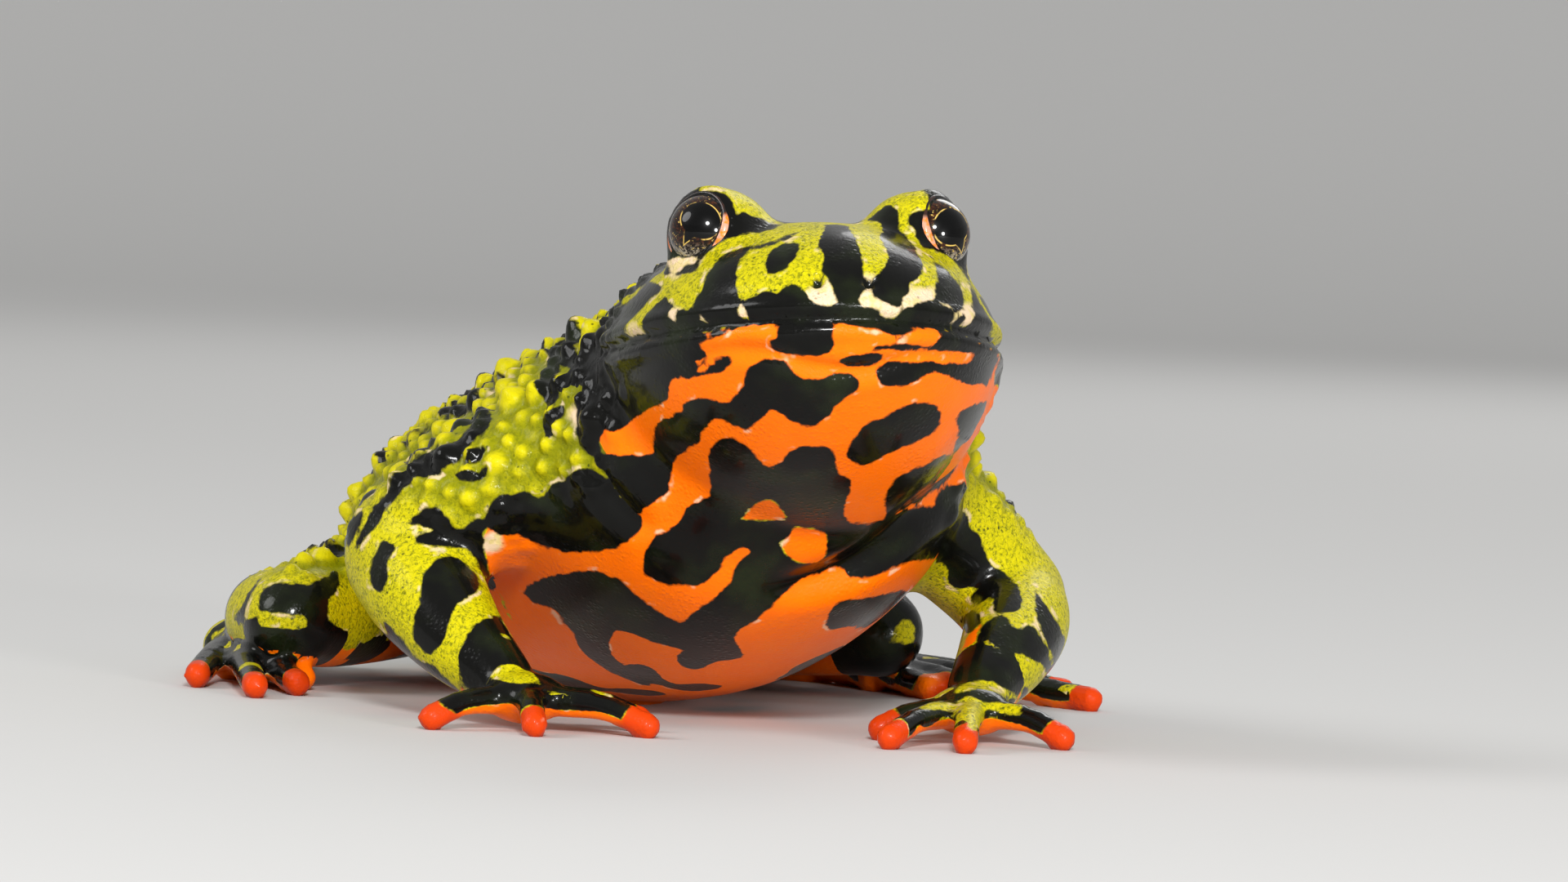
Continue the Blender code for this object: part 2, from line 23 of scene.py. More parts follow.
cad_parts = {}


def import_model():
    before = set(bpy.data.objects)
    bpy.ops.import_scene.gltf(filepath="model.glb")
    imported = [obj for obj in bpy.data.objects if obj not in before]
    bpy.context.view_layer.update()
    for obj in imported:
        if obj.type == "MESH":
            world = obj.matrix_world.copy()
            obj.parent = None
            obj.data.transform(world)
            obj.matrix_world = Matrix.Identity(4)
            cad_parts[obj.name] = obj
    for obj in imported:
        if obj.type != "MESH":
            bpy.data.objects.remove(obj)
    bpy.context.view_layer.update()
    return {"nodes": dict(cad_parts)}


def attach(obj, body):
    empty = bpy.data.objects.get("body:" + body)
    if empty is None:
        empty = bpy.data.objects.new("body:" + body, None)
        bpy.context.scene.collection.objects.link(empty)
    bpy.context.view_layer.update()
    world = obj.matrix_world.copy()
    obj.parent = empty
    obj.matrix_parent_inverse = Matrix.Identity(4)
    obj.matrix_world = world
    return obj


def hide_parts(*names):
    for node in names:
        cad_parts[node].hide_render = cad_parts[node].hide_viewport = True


LOG = logging.getLogger("toad")
MM = 0.001
SIDES = {"right": -1, "left": 1}
# From the toad's own frame, in which all sizes are given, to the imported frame.
ORIGIN_SHIFT = Vector((-1.87, -1.2, 0.0))
EYE_NODES = ("eye_right", "eye_left")
UP = Vector((0, 0, 1))
BODY_SIDES = 56
LIMB_SIDES = 28
DIGIT_SIDES = 20
TINY = 1e-9

Array = np.ndarray
Row = tuple[float, ...]
Span = tuple[float, float]
Colour = tuple[float, float, float]

# Sockets of a Mix node that mixes colours, whose names repeat those of its other kinds.
MIX_SHARE, MIX_FIRST, MIX_SECOND, MIX_RESULT = 0, 6, 7, 2
NOISE_MIDDLE = 0.5


class Paint(Enum):
    """What a marking is painted with."""

    DARK = "dark"
    ORANGE = "orange"
    GREEN = "green"
    PALE = "pale"


@dataclass(frozen=True)
class Outline:
    """One marking: its paint, and the corners of its closed outline in the frame."""

    name: str
    paint: Paint
    corners: str


@dataclass(frozen=True)
class Fold:
    """One crease of the skin: its depth and width in millimetres, and its line in the frame."""

    name: str
    depth: float
    width: float
    corners: str


def corner_rows(corners: str) -> Array:
    """Rows of x and y, from corners written as x,y pairs."""
    return np.array([pair.split(",") for pair in corners.split()], float)


FOLDS = (
    Fold("under the throat", 0.42, 0.42, """
        1186,540 1173,566 1151,604 1113,636 1075,669 1035,695 985,713 930,722
    """),
    Fold("beside the throat", 0.3, 0.4, """
        716,545 738,590 768,628 800,655
    """),
    Fold("under the chin", 0.22, 0.3, """
        850,440 893,428 941,434 986,447 1037,455 1080,449 1125,437 1180,436
    """),
)

HAND_MARKS = (
    Outline("wrist", Paint.GREEN, """
        1166,848 1178,838 1199,834 1221,838 1241,848 1245,858 1228,852 1210,845 1188,844 1174,850
    """),
    Outline("knuckles", Paint.GREEN, """
        1124,868 1143,859 1166,862 1185,854 1210,859 1232,863 1252,871 1243,876 1221,870 1208,870
        1203,884 1194,895 1184,886 1178,872 1160,870 1140,869
    """),
)
HEAD_MARKS = (
    Outline("left brow and cheek", Paint.GREEN, """
        958,273 982,269 1008,276 994,281 964,288 939,298 912,303 890,311 875,321 866,335 861,351 853,365
        848,380 837,380 826,376 820,367 814,364 798,377 792,396 786,413 777,428 768,419 777,391 789,376
        801,364 811,351 798,345 786,351 771,364 762,339 780,333 798,332 826,337 850,333 860,315 881,299
        902,288 927,283 945,281
    """),
    Outline("left snout patch", Paint.GREEN, """
        906,315 924,305 951,299 976,286 994,279 1009,277 1007,287 1001,298 1001,303 1009,309 1007,321
        1006,332 1015,344 1018,353 1022,365 1024,373 1014,377 1000,373 991,368 987,359 977,350 967,347
        951,358 939,358 927,361 910,367 903,354 902,333
    """),
    Outline("left snout spot", Paint.DARK, """
        935,324 941,310 951,301 970,297 980,302 974,315 964,328 953,335 941,334
    """),
    Outline("left hump", Paint.GREEN, """
        853,235 869,220 902,214 924,215 951,226 970,246 976,267 961,275 945,274 938,271 930,267 919,263
        910,260 903,262 900,253 896,244 887,237 872,233
    """),
    Outline("left hump patch", Paint.DARK, """
        903,262 910,260 919,263 930,267 938,271 942,276 939,283 924,285 912,287 906,281 903,272
    """),
    Outline("middle stripe", Paint.GREEN, """
        1037,271 1055,269 1074,272 1081,281 1077,290 1084,302 1087,315 1082,328 1071,340 1069,348
        1062,351 1059,339 1057,327 1056,312 1049,294 1041,282
    """),
    Outline("middle stripe tip", Paint.PALE, """
        1059,338 1071,342 1068,358 1074,367 1089,376 1100,381 1095,389 1085,388 1071,380 1055,376
        1049,370 1055,361 1062,353
    """),
    Outline("left patch tip", Paint.PALE, """
        991,361 1000,351 1015,351 1022,365 1024,373 1014,377 1000,373 991,368
    """),
    Outline("right stripe", Paint.GREEN, """
        1110,286 1120,290 1129,302 1137,310 1145,321 1147,336 1146,354 1144,364 1137,367 1126,370
        1114,377 1102,376 1104,367 1112,358 1114,347 1126,339 1130,327 1126,315 1120,302 1112,293
    """),
    Outline("right stripe tip", Paint.PALE, """
        1114,358 1126,356 1145,357 1145,365 1137,368 1126,371 1114,377 1102,377 1105,367
    """),
    Outline("right edge stripe", Paint.GREEN, """
        1132,304 1141,306 1158,312 1172,324 1182,336 1188,351 1190,370 1188,389 1182,399 1177,394
        1178,379 1180,365 1175,348 1165,337 1153,325 1140,315
    """),
    Outline("right edge tip", Paint.PALE, """
        1178,376 1189,376 1187,389 1182,399 1177,394
    """),
    Outline("right hook", Paint.PALE, """
        1149,370 1159,374 1166,383 1175,380 1177,384 1169,391 1163,399 1159,398 1164,389 1160,380
        1152,376
    """),
    Outline("far right edge", Paint.GREEN, """
        1193,347 1207,368 1214,391 1219,400 1219,413 1210,422 1205,425 1204,421 1212,413 1210,400
        1204,380 1193,356
    """),
    Outline("right hump", Paint.GREEN, """
        1055,267 1070,248 1089,237 1111,233 1127,234 1137,241 1136,256 1126,257 1117,261 1112,267
        1114,276 1120,284 1118,291 1105,285 1100,278 1102,269 1096,254 1086,252 1074,260 1065,268
    """),
    Outline("left lip bar", Paint.PALE, """
        906,391 909,377 912,374 916,380 915,391
    """),
    Outline("left lip bar low", Paint.PALE, """
        856,388 860,387 871,396 869,399 860,398
    """),
    Outline("left lip bar back", Paint.PALE, """
        823,382 828,380 834,382 829,394 825,391
    """),
    Outline("cheek edge", Paint.PALE, """
        771,416 780,400 786,405 783,422 774,429
    """),
    Outline("under the left eye", Paint.PALE, """
        816,319 826,316 848,315 857,315 851,322 838,327 826,337 820,332
    """),
)
THROAT_MARKS = (
    Outline("front of throat and chest", Paint.ORANGE, """
        755,444 803,421 865,407 920,394 1010,390 1079,390 1148,401 1210,428 1223,449 1213,494 1217,525
        1196,573 1182,600 1158,614 1189,642 1192,690 1182,728 1217,793 1148,862 907,862 734,810 648,786
        607,717 597,690 597,642 659,652 721,652 765,611 752,576 740,552 729,525 731,490 740,471
    """),
    Outline("left lip and jaw", Paint.DARK, """
        721,449 745,432 803,417 865,407 913,394 893,408 862,421 863,437 852,442 845,449 831,459 821,470
        819,483 810,495 793,501 777,513 771,518 755,529 745,526 738,532 734,542 738,554 721,559 707,532
        707,497 714,476 721,466
    """),
    Outline("throat edge", Paint.DARK, """
        648,642 679,600 714,573 734,583 760,618 752,645 721,652 679,655
    """),
    Outline("left jaw slit", Paint.DARK, """
        824,463 829,452 852,445 872,440 889,435 896,441 892,450 879,457 862,459 845,463
    """),
    Outline("left jaw slit line", Paint.ORANGE, """
        852,455 861,445 879,439 883,441 869,447 858,457
    """),
    Outline("chin blotch", Paint.DARK, """
        948,394 1024,390 1021,401 1018,411 1023,421 1011,433 986,437 962,435 944,428 944,418 954,408
    """),
    Outline("right lip band", Paint.DARK, """
        1020,389 1079,389 1148,401 1189,416 1217,435 1182,430 1152,417 1148,409 1141,400 1124,403
        1093,410 1062,401 1022,396
    """),
    Outline("right cheek line", Paint.DARK, """
        1148,409 1182,421 1217,435 1210,471 1203,470 1182,470 1168,464 1158,459 1141,456 1124,463
        1106,471 1086,472 1075,464 1075,454 1089,447 1113,444 1141,443 1158,445 1186,444 1190,436
        1182,431 1134,430 1106,429 1082,428 1070,425 1089,419 1113,421 1138,423
    """),
    Outline("brown blotch", Paint.DARK, """
        1028,445 1036,436 1070,432 1081,437 1075,449 1058,453 1041,452
    """),
    Outline("throat band", Paint.DARK, """
        913,460 921,447 941,441 962,445 975,459 993,465 1017,461 1038,459 1051,467 1047,479 1030,491
        1017,507 1003,518 986,523 969,516 958,507 948,502 938,506 927,518 911,525 893,519 883,512
        869,518 860,529 855,542 838,553 825,566 821,587 814,607 790,622 780,634 755,614 741,587 721,552
        739,555 769,558 794,556 801,549 801,525 814,514 833,504 838,494 855,487 872,490 889,492 903,483
        909,470
    """),
    Outline("right throat bar", Paint.DARK, """
        1037,558 1038,548 1048,532 1065,518 1089,507 1110,497 1130,493 1148,499 1152,514 1144,528
        1127,538 1103,549 1082,559 1062,569 1047,568
    """),
    Outline("right chest bar", Paint.DARK, """
        1083,623 1083,607 1099,584 1127,569 1151,557 1172,563 1177,573 1163,594 1142,615 1113,632
        1093,638 1084,634
    """),
    Outline("right edge blotch", Paint.DARK, """
        1169,514 1179,503 1196,495 1223,487 1223,504 1199,519 1193,530 1183,544 1172,560 1170,545
        1174,528
    """),
    Outline("right collar", Paint.DARK, """
        1148,621 1161,600 1182,587 1196,573 1203,600 1196,642 1192,683 1161,692 1144,686 1120,685
        1096,690 1075,702 1051,707 1039,700 1044,655 1065,637 1093,636 1113,634
    """),
    Outline("chest blotch", Paint.DARK, """
        868,559 872,545 886,537 903,538 918,550 931,564 946,572 958,563 972,550 993,545 1014,547
        1023,559 1026,577 1040,587 1042,600 1036,614 1034,629 1042,638 1065,637 1079,636 1065,662
        1048,707 1031,700 1010,707 975,719 941,745 907,776 872,790 803,790 734,786 700,773 679,748
        655,738 641,724 659,711 690,702 721,699 752,707 765,714 779,728 800,745 831,762 855,745 879,728
        895,711 903,690 917,675 907,672 888,683 881,697 862,714 838,718 814,715 793,707 787,693 790,676
        803,655 821,649 833,638 838,624 855,614 869,608 869,587
    """),
    Outline("upper island", Paint.ORANGE, """
        908,636 920,621 931,614 945,612 957,624 962,636 941,637
    """),
    Outline("lower island", Paint.ORANGE, """
        956,666 967,653 973,645 989,647 1009,650 1012,662 1009,680 1000,689 979,687 962,677
    """),
    Outline("left chest blotch", Paint.DARK, """
        593,636 598,620 608,609 627,604 646,602 659,609 670,604 674,595 688,588 710,588 732,591 747,604
        766,620 783,634 784,646 770,662 751,671 726,676 700,677 678,673 659,667 643,659 634,652 617,655
        605,650 594,646
    """),
    Outline("low chest patch", Paint.DARK, """
        1022,736 1040,732 1084,728 1107,722 1116,728 1132,742 1137,752 1122,761 1106,767 1069,765
        1022,783 993,795 1011,759
    """),
    Outline("collar tip", Paint.PALE, """
        592,671 596,655 608,655 611,668 601,674
    """),
)
BACK_MARKS = (
    Outline("nape patch", Paint.DARK, """
        672,438 677,424 694,414 721,409 714,419 706,436 711,444 706,453 690,450 687,465 684,489 674,502
        665,489 665,472 668,458 674,448
    """),
    Outline("neck patch", Paint.DARK, """
        674,511 691,496 689,516 682,530 672,538 665,526 665,516
    """),
    Outline("upper back patch", Paint.DARK, """
        543,519 555,504 563,484 575,467 599,457 621,457 623,469 607,477 595,484 587,499 571,507
    """),
    Outline("back edge patch", Paint.DARK, """
        495,545 502,527 517,518 535,517 522,531 508,540 502,550
    """),
    Outline("long back band", Paint.DARK, """
        601,508 600,523 587,536 575,548 565,565 551,574 536,582 517,586 502,596 490,606 473,623 466,637
        454,652 438,673 435,666 444,647 452,630 466,610 483,595 498,578 512,562 529,552 541,547 544,557
        556,542 570,528 585,515
    """),
    Outline("back spot", Paint.DARK, """
        570,569 578,555 596,548 590,562 580,570
    """),
    Outline("lower back spot", Paint.DARK, """
        555,582 565,578 585,578 601,571 595,582 578,590 563,587
    """),
    Outline("flank edge", Paint.DARK, """
        422,656 430,634 446,627 442,642 435,654 427,671
    """),
    Outline("shoulder patch", Paint.DARK, """
        499,642 510,630 524,622 541,623 551,634 556,645 565,647 578,637 585,634 598,642 595,666 601,693
        605,717 587,697 575,676 556,670 529,670 510,664 509,656 527,651 530,648 517,645
    """),
    Outline("outer patch", Paint.DARK, """
        468,661 484,668 476,685 474,705 471,724 456,719 453,697 461,678
    """),
    Outline("nape edge", Paint.PALE, """
        699,506 708,501 719,521 713,523 704,516
    """),
    Outline("nape fleck", Paint.PALE, """
        731,453 737,448 742,458 735,464
    """),
)
RIGHT_ARM_MARKS = (
    Outline("elbow band", Paint.DARK, """
        549,678 572,691 590,717 573,730 556,747 548,768 540,789 526,802 509,789 505,767 513,738 518,708
        530,689
    """),
    Outline("forearm band", Paint.DARK, """
        563,798 572,776 589,761 611,754 621,764 641,774 612,782 599,797 578,816 563,810
    """),
    Outline("wrist band", Paint.DARK, """
        594,845 593,822 606,805 631,797 645,783 667,785 655,805 645,814 620,816 611,830 607,854
    """),
    Outline("lower edge", Paint.DARK, """
        467,759 484,772 509,805 535,818 560,843 598,856 577,873 535,856 493,818
    """),
)
LEFT_ARM_MARKS = (
    Outline("shoulder", Paint.DARK, """
        1137,607 1153,610 1181,628 1187,643 1198,654 1204,672 1213,690 1228,701 1246,716 1252,737
        1245,748 1228,752 1216,748 1216,733 1204,736 1193,740 1188,730 1198,720 1184,720 1169,721
        1160,713 1159,696 1151,689 1128,685 1099,688 1099,648
    """),
    Outline("inner patch", Paint.DARK, """
        1171,767 1181,754 1193,748 1201,754 1200,765 1187,776
    """),
    Outline("elbow band", Paint.DARK, """
        1194,789 1200,772 1213,757 1228,754 1239,765 1252,769 1264,766 1275,781 1283,795 1289,824
        1293,849 1287,839 1278,818 1263,806 1246,801 1228,808 1220,803 1210,784 1200,792
    """),
    Outline("outer line", Paint.DARK, """
        1266,718 1278,736 1292,759 1304,783 1311,806 1307,842 1298,865 1295,847 1293,818 1283,789
        1269,754
    """),
    Outline("forearm inside", Paint.ORANGE, """
        1179,792 1186,777 1202,764 1198,772 1194,789 1200,792 1210,784 1220,804 1216,813 1204,824
        1187,828 1175,837 1173,812
    """),
    Outline("forearm band", Paint.DARK, """
        1178,842 1187,828 1204,824 1228,821 1234,833 1254,839 1266,857 1275,880 1282,903 1272,893
        1263,874 1245,863 1228,856 1204,853 1181,856 1173,867
    """),
)
RIGHT_LEG_MARKS = (
    Outline("upper edge", Paint.DARK, """
        339,680 350,675 363,680 375,685 394,676 398,678 405,688 419,683 425,671 405,674 398,669 367,688
        352,686
    """),
    Outline("thigh band", Paint.DARK, """
        317,730 325,720 337,714 359,715 382,714 398,707 411,702 415,720 402,736 402,755 409,782 390,782
        382,785 382,772 371,755 352,752 333,749 317,747
    """),
    Outline("knee", Paint.DARK, """
        301,762 315,755 317,770 329,772 342,774 359,778 382,772 382,793 377,818 359,831 337,833 314,818
        303,793
    """),
    Outline("shin line", Paint.DARK, """
        287,755 298,736 310,717 321,705 317,713 306,732 298,755 294,774 289,772
    """),
    Outline("inner thigh", Paint.ORANGE, """
        384,782 396,783 407,789 411,812 421,833 438,864 432,889 382,889 379,831 382,808
    """),
)
FLANK_MARKS = (
    Outline("flank", Paint.DARK, """
        428,640 444,640 432,688 440,720 461,759 486,799 509,824 547,847 558,870 543,894 490,891 451,870
        432,831 423,793 421,720 425,678
    """),
)


def smooth_path(stations: tuple[Row, ...] | Array, per_span: int = 4) -> Array:
    """Reads more stations between those given, along a Catmull-Rom curve.

    Args:
        stations: Rows of numbers, one for each station.
        per_span: How many rows each span gets.

    Returns:
        The denser rows, ends included.
    """
    rows = np.array(stations, float)
    ends = np.vstack([2 * rows[0] - rows[1], rows, 2 * rows[-1] - rows[-2]])
    path = []
    for k in range(len(rows) - 1):
        a, b, c, d = ends[k : k + 4]
        for t in np.arange(per_span) / per_span:
            bend = (2 * a - 5 * b + 4 * c - d) * t**2 + (3 * b - a - 3 * c + d) * t**3
            path.append(0.5 * (2 * b + (c - a) * t + bend))
    path.append(rows[-1])
    return np.array(path)


def rising(value: Array, low: float, high: float) -> Array:
    """A smooth rise from 0 at the low end to 1 at the high end."""
    share = np.clip((value - low) / (high - low), 0, 1)
    return share * share * (3 - 2 * share)


def distances(points: Array, place: Row | Vector | Array) -> Array:
    """How far each point lies from a place."""
    return np.linalg.norm(points - np.array(place), axis=1)


def bump(distance: Array, radius: float) -> Array:
    """A smooth swell from 1 at its middle to 0 at its radius."""
    return np.clip(1 - (distance / radius) ** 2, 0, None) ** 2


@dataclass(frozen=True)
class Wobble:
    """Smooth seeded unevenness: its depth, the rough width of one rise, and its seed."""

    depth: float
    width: float
    seed: int
    waves: int = 9
    spread: Span = (0.6, 1.4)

    def at(self, points: Array) -> Array:
        """How far each point is raised or lowered, between about minus and plus the depth.

        Args:
            points: Places in millimetres.

        Returns:
            One value for each point.
        """
        draw = np.random.default_rng(self.seed)
        total = np.zeros(len(points))
        for _ in range(self.waves):
            direction = draw.normal(size=3)
            length = np.linalg.norm(direction)
            direction *= draw.uniform(*self.spread) * math.pi / self.width / length
            total += np.sin(points @ direction + draw.uniform(0, 2 * math.pi))
        return self.depth * (total / math.sqrt(self.waves))


def limb_place(points: Array, stations: tuple[Row, ...]) -> tuple[Array, Array]:
    """Where points lie on a limb of round sections.

    Args:
        points: Places in millimetres.
        stations: The limb's x, y, z and radius.

    Returns:
        The distance outside the limb's surface, and the length along the limb.
    """
    rows = smooth_path(stations)
    outside = np.full(len(points), np.inf)
    along = np.zeros(len(points))
    start = 0.0
    for first, second in zip(rows, rows[1:]):
        axis = second[:3] - first[:3]
        length = np.linalg.norm(axis)
        share = np.clip((points - first[:3]) @ axis / length**2, 0, 1)
        away = np.linalg.norm(points - first[:3] - share[:, None] * axis, axis=1)
        depth = away - first[3] - share * (second[3] - first[3])
        nearer = depth < outside
        outside[nearer] = depth[nearer]
        along[nearer] = start + share[nearer] * length
        start += length
    return outside, along


def heading(azimuth: float, rise: float) -> Vector:
    """The direction at an angle from -Y towards +X, and at a rise, both in degrees.

    Args:
        azimuth: The angle.
        rise: The rise.

    Returns:
        A direction of length one.
    """
    azimuth, rise = math.radians(azimuth), math.radians(rise)
    flat = math.cos(rise)
    return Vector((math.sin(azimuth) * flat, -math.cos(azimuth) * flat, math.sin(rise)))


def search_tree(points: Array) -> KDTree:
    """A tree that finds the nearest of the points.

    Args:
        points: Places in millimetres.

    Returns:
        The tree, ready to search.
    """
    tree = KDTree(len(points))
    for index, point in enumerate(points):
        tree.insert(point, index)
    tree.balance()
    return tree


def mirrored(stations: tuple[Row, ...], side: int) -> tuple[Row, ...]:
    """Stations given for the left side, on the side asked for: -1 is right."""
    return tuple((side * row[0], *row[1:]) for row in stations)


class Clay:
    """Overlapping closed forms, in millimetres, that are fused into one skin."""

    large = 2.0
    large_cuts = 4
    small_cuts = 3

    def __init__(self) -> None:
        """Starts with no forms."""
        self.bm = bmesh.new()

    def take(self, form: bmesh.types.BMesh) -> None:
        """Adds a form that was made on its own, and frees it.

        Args:
            form: The form's working mesh.
        """
        mesh = bpy.data.meshes.new("form")
        form.to_mesh(mesh)
        form.free()
        self.bm.from_mesh(mesh)
        bpy.data.meshes.remove(mesh)

    def ball(self, centre: Row | Vector, radii: Row, place: Matrix = Matrix.Identity(4)) -> None:
        """Adds an ellipsoid.

        Args:
            centre: Its middle.
            radii: Its three radii.
            place: Where the ellipsoid goes.
        """
        form = bmesh.new()
        shape = Matrix.Translation(Vector(centre)) @ Matrix.Diagonal((*radii, 1.0))
        cuts = self.large_cuts if max(radii) > self.large else self.small_cuts
        bmesh.ops.create_icosphere(form, subdivisions=cuts, radius=1.0, matrix=place @ shape)
        self.take(form)

    def loft(self, rows: Array, sides: int, place: Matrix = Matrix.Identity(4)) -> None:
        """Adds a closed loft.

        Args:
            rows: Stations of x, y, z, half width, height above and height below.
            sides: Corners of each section.
            place: Where the loft goes.
        """
        form = bmesh.new()
        rings = []
        for row, tangent in zip(rows, np.gradient(rows[:, :3], axis=0)):
            along = Vector(tangent).normalized()
            side = along.cross(UP).normalized()
            rise = side.cross(along)
            ring = bmesh.ops.create_circle(form, radius=1.0, segments=sides)["verts"]
            edges = list({edge for vert in ring for edge in vert.link_edges})
            for vert in ring:
                height = vert.co.y * (row[4] if vert.co.y > 0 else row[5])
                vert.co = place @ (Vector(row[:3]) + side * vert.co.x * row[3] + rise * height)
            rings.append((ring, edges))
        for (_, first), (_, second) in zip(rings, rings[1:]):
            bmesh.ops.bridge_loops(form, edges=first + second)
        for ring, _ in (rings[0], rings[-1]):
            form.faces.new(ring)
        self.take(form)

    def limb(self, stations: tuple[Row, ...], sides: int = LIMB_SIDES) -> None:
        """Adds a limb of round sections with a ball at each end.

        Args:
            stations: The limb's x, y, z and radius.
            sides: Corners of each section.
        """
        rows = smooth_path(stations)
        self.loft(np.column_stack([rows, rows[:, 3], rows[:, 3]]), sides)
        for end in (rows[0], rows[-1]):
            self.ball(end[:3], (end[3],) * 3)

    def fused(self, name: str, voxel: float) -> bpy.types.Object:
        """Fuses the forms into one closed skin.

        Args:
            name: Name of the new object.
            voxel: Size of the grid that the skin is read on.

        Returns:
            The new object, in metres.
        """
        bmesh.ops.recalc_face_normals(self.bm, faces=self.bm.faces)
        obj = new_object(name, self.bm)
        remesh = obj.modifiers.new("fuse", "REMESH")
        remesh.mode = "VOXEL"
        remesh.voxel_size = voxel * MM
        graph = bpy.context.evaluated_depsgraph_get()
        mesh = bpy.data.meshes.new_from_object(obj.evaluated_get(graph))
        obj.modifiers.clear()
        obj.data = mesh
        mesh.name = name
        return obj


def new_object(name: str, bm: bmesh.types.BMesh) -> bpy.types.Object:
    """Makes an object of a working mesh in millimetres, and frees the working mesh.

    Args:
        name: Name of the object and its mesh.
        bm: The working mesh.

    Returns:
        The object, linked to the scene, with its mesh in metres.
    """
    bmesh.ops.scale(bm, vec=(MM, MM, MM), verts=bm.verts)
    mesh = bpy.data.meshes.new(name)
    bm.to_mesh(mesh)
    bm.free()
    obj = bpy.data.objects.new(name, mesh)
    bpy.context.scene.collection.objects.link(obj)
    return obj


def read_triples(items: bpy.types.bpy_prop_collection, name: str) -> Array:
    """One row of three numbers for each item of a mesh.

    Args:
        items: Vertices, or their normals.
        name: Which of their values is read.

    Returns:
        The rows.
    """
    flat = np.empty(len(items) * 3)
    items.foreach_get(name, flat)
    return flat.reshape(-1, 3)


def read_points(mesh: bpy.types.Mesh) -> Array:
    """Vertex positions in millimetres."""
    return read_triples(mesh.vertices, "co") / MM


def read_normals(mesh: bpy.types.Mesh) -> Array:
    """Vertex normals."""
    return read_triples(mesh.vertex_normals, "vector")


def read_edges(mesh: bpy.types.Mesh) -> tuple[Array, Array]:
    """The two ends of each edge.

    Args:
        mesh: The mesh.

    Returns:
        Indices of the first ends and of the second ends.
    """
    ends = np.empty(len(mesh.edges) * 2, int)
    mesh.edges.foreach_get("vertices", ends)
    return tuple(ends.reshape(-1, 2).T)


def write_points(mesh: bpy.types.Mesh, points: Array) -> None:
    """Puts vertex positions given in millimetres back into the mesh."""
    mesh.vertices.foreach_set("co", (points * MM).ravel())
    mesh.update()


def write_attribute(mesh: bpy.types.Mesh, name: str, values: Array) -> None:
    """Keeps one number for each vertex in the mesh, for its material to read."""
    layer = mesh.attributes.new(name, "FLOAT", "POINT")
    layer.data.foreach_set("value", values.astype(np.float32))


